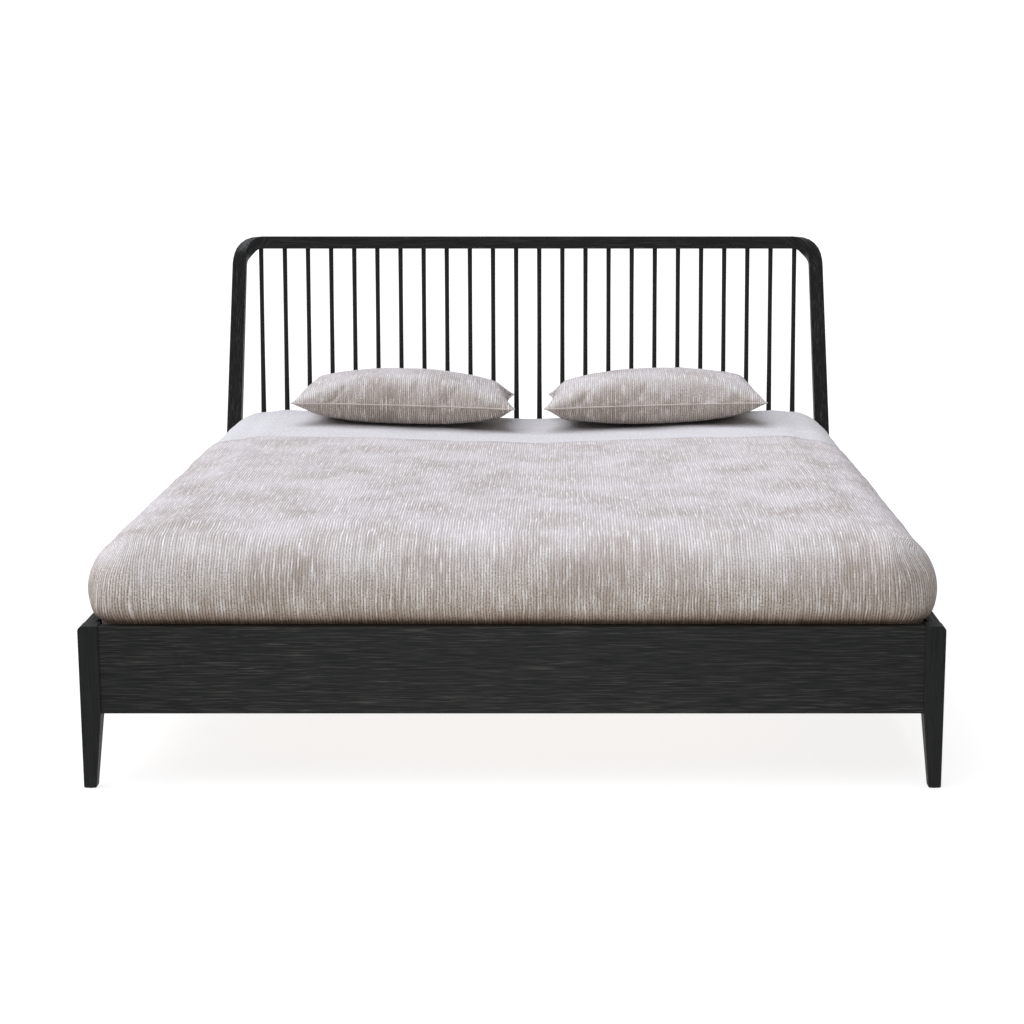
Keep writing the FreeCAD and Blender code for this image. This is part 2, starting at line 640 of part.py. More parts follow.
def corner_nut(side, end):
    """The hexagon nut on a corner bolt."""
    way = bolt_way(side, end)
    level = UP.cross(way)
    start = bracket_face(side, end)
    across_corners = NUT_ACROSS / math.sqrt(3)
    turns = [math.radians(60 * i) for i in range(6)]
    corners = [start + level * (across_corners * math.cos(t)) + UP * (across_corners * math.sin(t))
               for t in turns]
    nut = prism(rounded_wire(corners, [0] * 6), way * NUT_HEIGHT)
    return nut.cut(rod(start - way, start + way * (2 * NUT_HEIGHT), BOLT_R + BOLT_CLEARANCE))


def in_every_corner(maker):
    """One of a fitting in each corner of the frame, as a group."""
    return Part.makeCompound([maker(side, end) for side in (-1, 1) for end in ("foot", "head")])


def rail_dowels():
    """The dowels that line the side rails up with the legs, as a group."""
    places = [place for side in (-1, 1) for end in ("foot", "head")
              for place in rail_dowel_places(side, end)]
    return Part.makeCompound([rail_dowel(place) for place in places])


def headboard_dowels():
    """The dowels inside the headboard's corner joints, as a group."""
    right = [lean(dowel) for dowel in post_dowels() + crest_dowels()]
    return Part.makeCompound(right + [mirrored(dowel) for dowel in right])


# ---------------------------------------------------------------- centre beam and slats

BEAM_TOP = SLAT_BOTTOM
BEAM_BOTTOM = BEAM_TOP - BEAM_HEIGHT


def centre_beam():
    """The beam down the middle that carries the inner ends of the slats."""
    z = (BEAM_TOP + BEAM_BOTTOM) / 2
    start = Vector(0, FOOT_RAIL_BACK + SHOE_THICKNESS, z)
    end = Vector(0, HEAD_RAIL_FRONT - SHOE_THICKNESS, z)
    beam = bar(start, end, ACROSS, UP, BEAM_WIDTH, BEAM_HEIGHT, RAIL_EDGE)
    for y in CENTRE_LEG_Y:
        beam = beam.cut(leg_stud(y, BOLT_CLEARANCE))
    return beam


def beam_shoe(wall_y, inward):
    """A folded steel stirrup on a rail that one end of the beam drops into."""
    half = BEAM_WIDTH / 2 + TENON_CLEARANCE
    low, high = BEAM_BOTTOM, BEAM_BOTTOM + SHOE_WALL
    outer = half + SHOE_THICKNESS
    points = [(-outer, high), (-outer, low - SHOE_THICKNESS), (outer, low - SHOE_THICKNESS),
              (outer, high), (half, high), (half, low), (-half, low), (-half, high)]
    start = wall_y + inward * SHOE_THICKNESS
    corners = [Vector(x, start, z) for x, z in points]
    channel = prism(rounded_wire(corners, [0] * len(corners)), ALONG * (inward * SHOE_DEPTH))
    wide = outer + SHOE_THICKNESS * 4
    ys = sorted((wall_y, start))
    plate = block(Vector(-wide, ys[0], low - SHOE_THICKNESS), Vector(wide, ys[1], high))
    return channel.fuse(plate).removeSplitter()


def centre_leg(y):
    """A square tapered leg under the centre beam."""
    sections = [eased_rectangle(Vector(0, y, z), ACROSS, ALONG, size, size, LEG_EDGE)
                for z, size in ((GLIDE_PROUD, CENTRE_LEG_TOE), (BEAM_BOTTOM, CENTRE_LEG_SIZE))]
    leg = Part.makeLoft(sections, True, True)
    return leg.cut(leg_stud(y, BOLT_CLEARANCE)).cut(glide_hole(0, y))


def leg_stud(y, clearance=0.0):
    """The stud between a centre leg and the beam, or its holes."""
    half = UP * (STUD_LENGTH / 2 + clearance)
    middle = Vector(0, y, BEAM_BOTTOM)
    return rod(middle - half, middle + half, BOLT_R + clearance)


def glide(x, y):
    """A nylon glide, let into the underside of a leg."""
    return rod(Vector(x, y, 0), Vector(x, y, GLIDE_HEIGHT - DOWEL_CLEARANCE), GLIDE_R)


def leg_glides():
    """The glides under all legs, as a group."""
    x = toe_middle(LEG_INNER, HALF_WIDTH)
    ys = (toe_middle(LEG_SIZE, 0.0), toe_middle(FRAME_LENGTH, POST_BACK))
    glides = [glide(side * x, y) for side in (-1, 1) for y in ys]
    return Part.makeCompound(glides + [glide(0, y) for y in CENTRE_LEG_Y])


SLAT_OUTER = RAIL_INNER - SLAT_END_GAP
SLAT_INNER = REST_GAP * 4
SLAT_PITCH = (HEAD_RAIL_FRONT - FOOT_RAIL_BACK - 2 * SLAT_FIRST) / (SLAT_COUNT - 1)


def slats():
    """The boards of the +X half of the slat base, as a group."""
    base, top, ease = SLAT_REST, SLAT_TOP, SLAT_EASE
    boards = []
    for i in range(SLAT_COUNT):
        y = FOOT_RAIL_BACK + SLAT_FIRST + i * SLAT_PITCH
        low, high = y - SLAT_WIDTH / 2, y + SLAT_WIDTH / 2
        points = [(low + ease, base), (high - ease, base), (high, base + ease), (high, top - ease),
                  (high - ease, top), (low + ease, top), (low, top - ease), (low, base + ease)]
        corners = [Vector(SLAT_INNER, a, b) for a, b in points]
        boards.append(prism(rounded_wire(corners, [0] * 8), ACROSS * (SLAT_OUTER - SLAT_INNER)))
    return Part.makeCompound(boards)


def slat_straps():
    """The webbing under the slats that keeps them apart, two bands to each half, as a group."""
    top = SLAT_REST
    start = FOOT_RAIL_BACK + SLAT_FIRST - SLAT_WIDTH / 2
    end = HEAD_RAIL_FRONT - SLAT_FIRST + SLAT_WIDTH / 2
    bands = []
    for x in (SLAT_INNER + STRAP_IN, SLAT_OUTER - STRAP_IN):
        for side in (-1, 1):
            low = Vector(side * x - STRAP_WIDTH / 2, start, top - STRAP_THICKNESS)
            bands.append(block(low, Vector(side * x + STRAP_WIDTH / 2, end, top)))
    return Part.makeCompound(bands)


# ---------------------------------------------------------------- mattress and bedding


def mattress():
    """The mattress, with rounded corners and edges."""
    middle = Vector(0, MATTRESS_FOOT_Y + MATTRESS_LENGTH / 2, MATTRESS_BOTTOM)
    outline = rectangle(middle, ACROSS, ALONG, MATTRESS_WIDTH, MATTRESS_LENGTH, MATTRESS_CORNER)
    blank = prism(outline, UP * MATTRESS_HEIGHT)
    rims = [edge for edge in blank.Edges
            if abs(edge.firstVertex().Point.z - edge.lastVertex().Point.z) < MATTRESS_EDGE]
    return blank.makeChamfer(MATTRESS_EDGE, rims)


def bedding_outline(draw_in, head_draw_in, z, thinner):
    """A level outline of the bedding that has drawn in from where it is widest."""
    half = BEDDING_HALF - draw_in - thinner
    foot = BEDDING_FOOT + draw_in + thinner
    head = BEDDING_HEAD - head_draw_in - thinner
    radius = TUCK_CORNER + CORNER_SPREAD * (z - COVERLET_TUCK + draw_in)
    middle = Vector(0, (foot + head) / 2, z)
    return rectangle(middle, ACROSS, ALONG, 2 * half, head - foot, radius - thinner)


def dip_height(x, y):
    """Height of the sloping sides of the hollow in the bedding's top."""
    return CROWN_TOP - DIP + DIP_CROSS_SLOPE * abs(x) + DIP_LONG_SLOPE * (y - BEDDING_HEAD)


def above_dip(side, thinner):
    """All that lies over one side of the hollow."""
    places = [(0, 0), (side * HALF_WIDTH, 0), (side * HALF_WIDTH, POST_BACK), (0, POST_BACK)]
    corners = [Vector(x, y, dip_height(x, y) - thinner) for x, y in places]
    return prism(rounded_wire(corners, [0] * len(corners)), UP * HEAD_HEIGHT)


def bedding_form(thinner, tuck):
    """The swelling form of the made bed; thinner gives the same form, that much further in."""
    drop = BULGE_RISE
    full = (drop * drop + BEDDING_BULGE * BEDDING_BULGE) / (2 * BEDDING_BULGE)
    lower = full - thinner                       # radius of the swell under the widest line
    widest = math.asin(drop / full)
    tucked_in = lower * (1 - math.cos(widest))
    outlines = [bedding_outline(tucked_in, 0, tuck, thinner)]
    for step in range(BULGE_STEPS):
        angle = widest * (1 - step / BULGE_STEPS)
        draw_in = lower * (1 - math.cos(angle))
        outlines.append(bedding_outline(draw_in, 0, BULGE_HEIGHT - lower * math.sin(angle), thinner))
    for step in range(SHOULDER_STEPS + 1):
        angle = math.pi / 2 * step / SHOULDER_STEPS
        draw_in = (SHOULDER_RADIUS - thinner) * (1 - math.cos(angle))
        head_in = (HEAD_SHOULDER_RADIUS - thinner) * (1 - math.cos(angle))
        z = BULGE_HEIGHT + (SHOULDER_RADIUS - thinner) * math.sin(angle)
        outlines.append(bedding_outline(draw_in, head_in, z, thinner))
    outlines.append(bedding_outline(CROWN_IN, HEAD_CROWN_IN, CROWN_TOP - thinner, thinner))
    return Part.makeLoft(outlines, True, True).cut([above_dip(side, thinner) for side in (-1, 1)])


def coverlet():
    """The woven coverlet: a thin cover over the foot and sides of the bed, up to its loose edge."""
    cover = bedding_form(0.0, COVERLET_TUCK)
    cover = cover.cut(bedding_form(COVERLET_THICKNESS, COVERLET_TUCK - COVERLET_THICKNESS))
    keep = block(Vector(-HALF_WIDTH, 0, 0), Vector(HALF_WIDTH, COVERLET_LENGTH, HEAD_HEIGHT))
    return cover.common(keep)


def quilt():
    """The white quilt under the coverlet, tucked down between the mattress and the rails."""
    form = bedding_form(QUILT_UNDER, QUILT_TUCK)
    gap = 2 * REST_GAP
    middle = Vector(0, MATTRESS_FOOT_Y + MATTRESS_LENGTH / 2, 0)
    outline = rectangle(middle, ACROSS, ALONG, MATTRESS_WIDTH + gap, MATTRESS_LENGTH + gap,
                        MATTRESS_CORNER)
    return form.cut(prism(outline, UP * (MATTRESS_TOP + REST_GAP)))


def pillow_outline(middle, half_width, half_depth, sag):
    """A level outline of a pillow: four rounded corners, and sides that pull in by sag."""
    signs = ((-1, -1), (1, -1), (1, 1), (-1, 1))
    tips = [middle + Vector(sx * half_width, sy * half_depth, 0) for sx, sy in signs]
    ways = (ACROSS, ALONG, -ACROSS, -ALONG)
    edges = []
    for i, way in enumerate(ways):
        tip, turned = tips[(i + 1) % 4], ways[(i + 1) % 4]
        start, end = tips[i] + way * PILLOW_CORNER, tip - way * PILLOW_CORNER
        edges.append(Part.Arc(start, (start + end) / 2 + turned * sag, end).toShape())
        bend = tip + (turned - way) * (PILLOW_CORNER * (1 - 1 / math.sqrt(2)))
        edges.append(Part.Arc(end, bend, tip + turned * PILLOW_CORNER).toShape())
    return Part.Wire(edges)


def pillow():
    """The pillow on the +X side: a crowned form with drawn-in sides, and flatter underneath."""
    seam = PILLOW_HEIGHT * PILLOW_SEAM
    levels = [-level for level in PILLOW_LEVELS[:0:-1]] + list(PILLOW_LEVELS)
    outlines = []
    for level in levels:
        part = PILLOW_SEAM if level < 0 else 1 - PILLOW_SEAM
        z = seam + PILLOW_HEIGHT * part * level / PILLOW_LEVELS[-1]
        draw_in = PILLOW_DRAW * (1 - math.sqrt(1 - abs(level) ** PILLOW_ROUNDNESS))
        sag = PILLOW_SAG - PILLOW_PUFF * abs(level)
        outlines.append(pillow_outline(UP * z, PILLOW_WIDTH / 2 - draw_in,
                                       PILLOW_DEPTH / 2 - draw_in, sag))
    form = Part.makeLoft(outlines, True, True)
    form.rotate(Vector(), ALONG, -math.degrees(math.atan(DIP_CROSS_SLOPE)))
    form.rotate(Vector(), ACROSS, math.degrees(math.atan(DIP_LONG_SLOPE)))
    y = HEAD_Y - SPINDLE_FOOT_R - PILLOW_HEAD_GAP - PILLOW_DEPTH / 2
    form.translate(Vector(PILLOW_X, y, dip_height(PILLOW_X, y) - QUILT_UNDER + REST_GAP))
    return form


# ---------------------------------------------------------------- the whole bed


def main():
    os.makedirs("parts", exist_ok=True)
    post = head_post()
    pieces = {
        "foot_leg_right": foot_leg(),
        "head_post_right": post,
        "side_rail_right": side_rail(),
        "slat_ledge_right": slat_ledge(),
        "crest_corner_right": lean(crest_corner()),
        "slats_right": slats(),
        "pillow_right": pillow(),
    }
    for name in list(pieces):
        pieces[name.replace("_right", "_left")] = mirrored(pieces[name])
    pieces.update({
        "foot_rail": cross_rail(RAIL_SETBACK),
        "head_rail": cross_rail(HEAD_RAIL_FRONT),
        "crest_rail": lean(crest_rail()),
        "spindle_rail": spindle_rail(post),
        "headboard_dowels": headboard_dowels(),
        "rail_dowels": rail_dowels(),
        "corner_brackets": in_every_corner(corner_bracket),
        "corner_bolts": in_every_corner(corner_bolt),
        "corner_nuts": in_every_corner(corner_nut),
        "centre_beam": centre_beam(),
        "beam_shoe_foot": beam_shoe(FOOT_RAIL_BACK, 1),
        "beam_shoe_head": beam_shoe(HEAD_RAIL_FRONT, -1),
        "centre_leg_foot": centre_leg(CENTRE_LEG_Y[0]),
        "centre_leg_head": centre_leg(CENTRE_LEG_Y[1]),
        "centre_leg_studs": Part.makeCompound([leg_stud(y) for y in CENTRE_LEG_Y]),
        "leg_glides": leg_glides(),
        "slat_straps": slat_straps(),
        "mattress": mattress(),
        "quilt": quilt(),
        "coverlet": coverlet(),
    })
    for number, x in enumerate(spindle_places(), 1):
        pieces["spindle_%02d" % number] = lean(spindle(x))
    for name, shape in pieces.items():
        written(name, shape)


main()
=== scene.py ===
# Spindle bed in black oak, dressed with a mattress, a white quilt, a woven coverlet and two pillows.
#
# Metres. X runs across the bed, Y from the foot to the head, Z up from the floor. Every size and
# place comes from the frame's nodes or is named in the section of the piece that needs it.

import bmesh
import bpy
import math
import numpy as np
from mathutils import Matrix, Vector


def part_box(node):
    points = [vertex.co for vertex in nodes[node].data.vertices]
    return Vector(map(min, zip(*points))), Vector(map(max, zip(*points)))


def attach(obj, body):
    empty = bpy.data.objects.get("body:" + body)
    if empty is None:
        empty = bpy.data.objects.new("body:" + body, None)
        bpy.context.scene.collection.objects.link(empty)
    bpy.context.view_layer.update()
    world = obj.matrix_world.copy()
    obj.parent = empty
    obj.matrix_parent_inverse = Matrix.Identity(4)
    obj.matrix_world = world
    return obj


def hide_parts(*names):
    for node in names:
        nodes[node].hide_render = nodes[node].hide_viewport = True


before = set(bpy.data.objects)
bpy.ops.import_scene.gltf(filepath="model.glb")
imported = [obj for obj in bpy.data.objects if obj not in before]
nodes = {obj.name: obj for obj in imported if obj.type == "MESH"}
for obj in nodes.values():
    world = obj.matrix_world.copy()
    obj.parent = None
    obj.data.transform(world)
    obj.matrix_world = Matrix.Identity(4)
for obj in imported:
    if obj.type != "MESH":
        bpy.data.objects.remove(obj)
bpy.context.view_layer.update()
scene = bpy.context.scene

# ---------------------------------------------------------------- studio
# A plain white floor that runs on into a white room, lit softly from above and from the left. Room
# and floor are seen brighter than they light the bed, so that both are white and the bed keeps its
# shades. The camera stands a little right of the bed's middle line.

CAMERA_PLACE = (0.1159, -5.5164, 1.4815)
CAMERA_TILT = 10.917            # degrees under the level
CAMERA_LENS = 73.63             # millimetres, and the width of its sensor
CAMERA_SENSOR = 36.0
CAMERA_SHIFT = -0.0516          # the photograph is cut off-centre
CAMERA_REACH = 100.0            # how far it sees
ROOM_LIGHT = 0.36               # brightness of the white room as a light, and as it is seen
ROOM_SEEN = 1.05
KEY_LIGHT = 3.6                 # a broad overhead light
KEY_SOFTNESS = 85.0             # its width as an angle, in degrees
KEY_TURN = (2.0, -30.0, 0.0)    # leaned to the left, and very little to the foot
FLOOR_GLOW = 0.75               # glow of the floor as a light, before the middle of the bed
FLOOR_RIM = 0.15                # and out at its sides
FLOOR_POOL = (0.25, 1.5)        # distances from the middle line between which it fades
FLOOR_SEEN = 0.80               # its glow as it is seen, so that shadows on it stay pale
FLOOR_HALF = 30.0               # half its width


def srgb(code):
    """A colour from its sRGB hex code, as linear RGBA."""
    parts = [int(code[i:i + 2], 16) / 255 for i in (1, 3, 5)]
    return [p / 12.92 if p <= 0.04045 else ((p + 0.055) / 1.055) ** 2.4 for p in parts] + [1.0]


def add(tree, kind, inputs=None, **settings):
    """Adds a node; inputs are values or other nodes' sockets, by the input's name or number."""
    new = tree.nodes.new(kind)
    for name, value in settings.items():
        setattr(new, name, value)
    for key, value in (inputs or {}).items():
        if isinstance(value, bpy.types.NodeSocket):
            tree.links.new(value, new.inputs[key])
        else:
            new.inputs[key].default_value = value
    return new


def new_finish(name, **values):
    """A material with a Principled surface, its plain numbers set on the surface's own sockets."""
    material = bpy.data.materials.new(name)
    material.use_nodes = True
    surface = material.node_tree.nodes["Principled BSDF"]
    for key, value in values.items():
        surface.inputs[key.replace("_", " ")].default_value = value
    return material, material.node_tree, surface


camera = bpy.data.objects.new("camera", bpy.data.cameras.new("camera"))
camera.data.lens = CAMERA_LENS
camera.data.sensor_width = CAMERA_SENSOR
camera.data.shift_x = CAMERA_SHIFT
camera.data.clip_end = CAMERA_REACH
camera.location = CAMERA_PLACE
camera.rotation_euler = (math.radians(90 - CAMERA_TILT), 0, 0)
scene.collection.objects.link(camera)
scene.camera = camera

room = bpy.data.worlds.new("white_room")
room.use_nodes = True
tree = room.node_tree
seen = add(tree, "ShaderNodeLightPath").outputs["Is Camera Ray"]
level = add(tree, "ShaderNodeMix", {0: seen, 2: ROOM_LIGHT, 3: ROOM_SEEN}).outputs[0]
tree.links.new(level, tree.nodes["Background"].inputs["Strength"])
tree.nodes["Background"].inputs["Color"].default_value = srgb("#FFFFFF")
scene.world = room
scene.view_settings.view_transform = "Standard"

key = bpy.data.objects.new("key_light", bpy.data.lights.new("key_light", "SUN"))
key.data.energy = KEY_LIGHT
key.data.angle = math.radians(KEY_SOFTNESS)
key.data.color = srgb("#F3F5FF")[:3]
key.rotation_euler = [math.radians(turn) for turn in KEY_TURN]
scene.collection.objects.link(key)

corners = [(-FLOOR_HALF, -FLOOR_HALF, 0), (FLOOR_HALF, -FLOOR_HALF, 0),
           (FLOOR_HALF, FLOOR_HALF, 0), (-FLOOR_HALF, FLOOR_HALF, 0)]
floor_mesh = bpy.data.meshes.new("floor")
floor_mesh.from_pydata(corners, [], [(0, 1, 2, 3)])
floor = bpy.data.objects.new("floor", floor_mesh)
scene.collection.objects.link(floor)
floor_finish, tree, surface = new_finish("white_floor", Base_Color=srgb("#8C8C8C"), Roughness=0.9,
                                         Emission_Color=srgb("#FFFFFF"))
seen = add(tree, "ShaderNodeLightPath").outputs["Is Camera Ray"]
place = add(tree, "ShaderNodeTexCoord").outputs["Object"]
across = add(tree, "ShaderNodeSeparateXYZ", {0: place}).outputs["X"]
apart = add(tree, "ShaderNodeMath", {0: across}, operation="ABSOLUTE").outputs[0]
pool = add(tree, "ShaderNodeMapRange", {0: apart, 1: FLOOR_POOL[0], 2: FLOOR_POOL[1],
                                        3: FLOOR_GLOW, 4: FLOOR_RIM}).outputs[0]
glow = add(tree, "ShaderNodeMix", {0: seen, 2: pool, 3: FLOOR_SEEN}).outputs[0]
tree.links.new(glow, surface.inputs["Emission Strength"])
floor_mesh.materials.append(floor_finish)

# ---------------------------------------------------------------- legs and posts
# Square tapered legs of solid oak, stained black and finished in a thin matt lacquer, so that the
# open grain still shows as fine ridges. The head posts are each cut from one plank with their lean.

OAK_ACROSS = 0.0021             # width of the grain's lines: drawn coarser than the 0.3 mm pores
OAK_ALONG = 0.085               # and their length
OAK_DEPTH = 0.0009              # of the pores, as the light shows them
OAK_DARK = srgb("#090A09")
OAK_MIDDLE = srgb("#1A1B19")
OAK_LIGHT = srgb("#464741")


def black_oak(name, stretch, turn=(0, 0, 0), ridge=OAK_LIGHT):
    """Black stained oak: open pores give dark lines, and the ridges between them catch the light.

    Stretch is the size of a line of the grain along X, Y and Z, after the turn.
    """
    material, tree, surface = new_finish(name, Specular_IOR_Level=0.3)
    place = add(tree, "ShaderNodeTexCoord").outputs["Object"]
    turned = add(tree, "ShaderNodeMapping", {"Vector": place, "Rotation": turn}).outputs[0]
    size = [1 / s for s in stretch]
    grain = add(tree, "ShaderNodeMapping", {"Vector": turned, "Scale": size}).outputs[0]
    lines = add(tree, "ShaderNodeTexNoise", {"Vector": grain, "Scale": 1.0, "Detail": 3.0,
                                             "Roughness": 0.6, "Distortion": 0.5}).outputs[0]
    figure = add(tree, "ShaderNodeTexNoise", {"Vector": grain, "Scale": 0.14, "Detail": 2.0,
                                              "Distortion": 1.2}).outputs[0]
    pores = add(tree, "ShaderNodeMapRange", {0: lines, 1: 0.42, 2: 0.5}).outputs[0]
    ridges = add(tree, "ShaderNodeMapRange", {0: lines, 1: 0.53, 2: 0.66}).outputs[0]
    broad = add(tree, "ShaderNodeMapRange", {0: figure, 1: 0.38, 2: 0.62, 3: 0.15}).outputs[0]
    lit = add(tree, "ShaderNodeMath", {0: ridges, 1: broad}, operation="MULTIPLY").outputs[0]
    base = add(tree, "ShaderNodeMix", {0: pores, 6: OAK_DARK, 7: OAK_MIDDLE},
               data_type="RGBA").outputs[2]
    colour = add(tree, "ShaderNodeMix", {0: lit, 6: base, 7: ridge}, data_type="RGBA").outputs[2]
    rough = add(tree, "ShaderNodeMapRange", {0: lines, 1: 0.3, 2: 0.7, 3: 0.58, 4: 0.38}).outputs[0]
    bump = add(tree, "ShaderNodeBump", {"Strength": 0.6, "Distance": OAK_DEPTH, "Height": lines})
    tree.links.new(colour, surface.inputs["Base Color"])
    tree.links.new(rough, surface.inputs["Roughness"])
    tree.links.new(bump.outputs[0], surface.inputs["Normal"])
    return material


def finish_nodes(material, *names):
    """Gives nodes of the frame their material."""
    for name in names:
        nodes[name].data.materials.clear()
        nodes[name].data.materials.append(material)


upright = (OAK_ACROSS, OAK_ACROSS, OAK_ALONG)
# The legs take a darker copy of the oak, with dark instead of pale ridges: painted shade, as the legs
# stand less lit than the rails and posts.
finish_nodes(black_oak("black_oak_legs_shaded", upright, ridge=OAK_DARK),
             "foot_leg_left", "foot_leg_right")
finish_nodes(black_oak("black_oak_posts", upright), "head_post_left", "head_post_right")

# ---------------------------------------------------------------- rails
# Wide boards between the legs, with their grain along the board. Foot and head rail are tenoned
# into the legs; the side rails are dowelled and drawn up by brackets inside the corners.

oak_across = black_oak("black_oak_across", (OAK_ALONG, OAK_ACROSS, OAK_ACROSS))
oak_along = black_oak("black_oak_along", (OAK_ACROSS, OAK_ALONG, OAK_ACROSS))
finish_nodes(oak_across, "foot_rail", "head_rail")
finish_nodes(oak_along, "side_rail_left", "side_rail_right")

# ---------------------------------------------------------------- headboard
# A crest rail with twisted corners carved from blocks, a lower rail behind the mattress, and
# turned spindles between them. All are black oak; the spindles have a smoother satin lacquer.

finish_nodes(oak_across, "crest_rail", "spindle_rail")
oak_corner_right = black_oak("black_oak_corner_right", (OAK_ALONG, OAK_ACROSS, OAK_ACROSS),
                             (0, -math.pi / 4, 0))
oak_corner_left = black_oak("black_oak_corner_left", (OAK_ALONG, OAK_ACROSS, OAK_ACROSS),
                            (0, math.pi / 4, 0))
finish_nodes(oak_corner_right, "crest_corner_right")
finish_nodes(oak_corner_left, "crest_corner_left")


TURNED_GRAIN = (260.0, 260.0, 4.0)   # lines of the grain a metre, along X, Y and Z


def turned_oak(name):
    """Turned and sanded oak under two coats of satin black lacquer: nearly smooth, faint grain."""
    material, tree, surface = new_finish(name, Specular_IOR_Level=0.4)
    place = add(tree, "ShaderNodeTexCoord").outputs["Object"]
    grain = add(tree, "ShaderNodeMapping", {"Vector": place, "Scale": TURNED_GRAIN}).outputs[0]
    lines = add(tree, "ShaderNodeTexNoise", {"Vector": grain, "Scale": 1.0, "Detail": 1.0}).outputs[0]
    colour = add(tree, "ShaderNodeMix", {0: lines, 6: srgb("#0B0B0B"), 7: srgb("#191918")},
                 data_type="RGBA").outputs[2]
    rough = add(tree, "ShaderNodeMapRange", {0: lines, 3: 0.36, 4: 0.46}).outputs[0]
    tree.links.new(colour, surface.inputs["Base Color"])
    tree.links.new(rough, surface.inputs["Roughness"])
    return material


finish_nodes(turned_oak("satin_black_oak"), *[name for name in nodes
                                              if name.startswith("spindle_")
                                              and name != "spindle_rail"])

# ---------------------------------------------------------------- fittings
# Beech dowels, zinc-plated steel brackets, bolts, nuts, studs and beam shoes, and nylon glides
# under the legs. None shows while the bed is made.

TIMBER_RING = 0.012             # spacing of the growth rings on a sawn face
TIMBER_ALONG = 0.3              # length over which they stay the same
ZINC_CLOUDS = 120.0             # clouds of the plating a metre
NYLON_GRIT = 900.0              # grains of the mould's texture a metre


def plain_timber(name, stretch):
    """Sawn and sanded softwood: soft bands of darker latewood along the grain, no lacquer."""
    material, tree, surface = new_finish(name, Roughness=0.7, Specular_IOR_Level=0.3)
    place = add(tree, "ShaderNodeTexCoord").outputs["Object"]
    size = [1 / s for s in stretch]
    grain = add(tree, "ShaderNodeMapping", {"Vector": place, "Scale": size}).outputs[0]
    rings = add(tree, "ShaderNodeTexNoise", {"Vector": grain, "Scale": 1.0, "Detail": 3.0,
                                             "Distortion": 0.6}).outputs[0]
    bands = add(tree, "ShaderNodeMapRange", {0: rings, 1: 0.35, 2: 0.7}).outputs[0]
    colour = add(tree, "ShaderNodeMix", {0: bands, 6: srgb("#D9BE94"), 7: srgb("#B98F5F")},
                 data_type="RGBA").outputs[2]
    bump = add(tree, "ShaderNodeBump", {"Strength": 0.2, "Distance": 0.0004, "Height": rings})
    tree.links.new(colour, surface.inputs["Base Color"])
    tree.links.new(bump.outputs[0], surface.inputs["Normal"])
    return material


def zinc_plate(name):
    """Zinc-plated steel: a pale grey metal, cloudy where the plating took unevenly."""
    material, tree, surface = new_finish(name, Metallic=1.0)
    place = add(tree, "ShaderNodeTexCoord").outputs["Object"]
    clouds = add(tree, "ShaderNodeTexNoise", {"Vector": place, "Scale": ZINC_CLOUDS,
                                              "Detail": 3.0}).outputs[0]
    colour = add(tree, "ShaderNodeMix", {0: clouds, 6: srgb("#A9ADB0"), 7: srgb("#CFD2D3")},
                 data_type="RGBA").outputs[2]
    rough = add(tree, "ShaderNodeMapRange", {0: clouds, 3: 0.28, 4: 0.48}).outputs[0]
    tree.links.new(colour, surface.inputs["Base Color"])
    tree.links.new(rough, surface.inputs["Roughness"])
    return material


def moulded_nylon(name):
    """Moulded black nylon with a fine spark-eroded texture."""
    material, tree, surface = new_finish(name, Base_Color=srgb("#1B1B1C"), Roughness=0.55)
    place = add(tree, "ShaderNodeTexCoord").outputs["Object"]
    grit = add(tree, "ShaderNodeTexNoise", {"Vector": place, "Scale": NYLON_GRIT}).outputs[0]
    bump = add(tree, "ShaderNodeBump", {"Strength": 0.3, "Distance": 0.0002, "Height": grit})
    tree.links.new(bump.outputs[0], surface.inputs["Normal"])
    return material


timber_across = plain_timber("sawn_timber_across", (TIMBER_ALONG, TIMBER_RING, TIMBER_RING))
timber_along = plain_timber("sawn_timber_along", (TIMBER_RING, TIMBER_ALONG, TIMBER_RING))
timber_upright = plain_timber("sawn_timber_upright", (TIMBER_RING, TIMBER_RING, TIMBER_ALONG))
steel = zinc_plate("zinc_plated_steel")
finish_nodes(timber_along, "rail_dowels")
finish_nodes(timber_across, "headboard_dowels")
finish_nodes(steel, "corner_brackets", "corner_bolts", "corner_nuts", "beam_shoe_foot",
             "beam_shoe_head", "centre_leg_studs")
finish_nodes(moulded_nylon("moulded_nylon"), "leg_glides")

# ---------------------------------------------------------------- slat base
# Softwood boards in two halves on ledges and a centre beam with two legs. Woven polypropylene
# tape, stapled under every board, keeps them apart.

finish_nodes(timber_along, "slat_ledge_left", "slat_ledge_right", "centre_beam")
finish_nodes(timber_upright, "centre_leg_foot", "centre_leg_head")
finish_nodes(timber_across, "slats_left", "slats_right")

TAPE_THREAD = 0.0022            # spacing of the tape's threads


def woven_tape(name):
    """Polypropylene tape: a plain weave of flat threads with a slight gloss."""
    material, tree, surface = new_finish(name, Roughness=0.5, Specular_IOR_Level=0.4)
    place = add(tree, "ShaderNodeTexCoord").outputs["Object"]
    thread = [1 / TAPE_THREAD] * 3
    laid = add(tree, "ShaderNodeMapping", {"Vector": place, "Scale": thread}).outputs[0]
    checks = add(tree, "ShaderNodeTexChecker", {"Vector": laid, "Scale": 1.0,
                                                "Color1": srgb("#D8CFBC"),
                                                "Color2": srgb("#B9AF99")})
    bump = add(tree, "ShaderNodeBump", {"Strength": 0.4, "Distance": 0.0004,
                                        "Height": checks.outputs["Fac"]})
    tree.links.new(checks.outputs["Color"], surface.inputs["Base Color"])
    tree.links.new(bump.outputs[0], surface.inputs["Normal"])
    return material


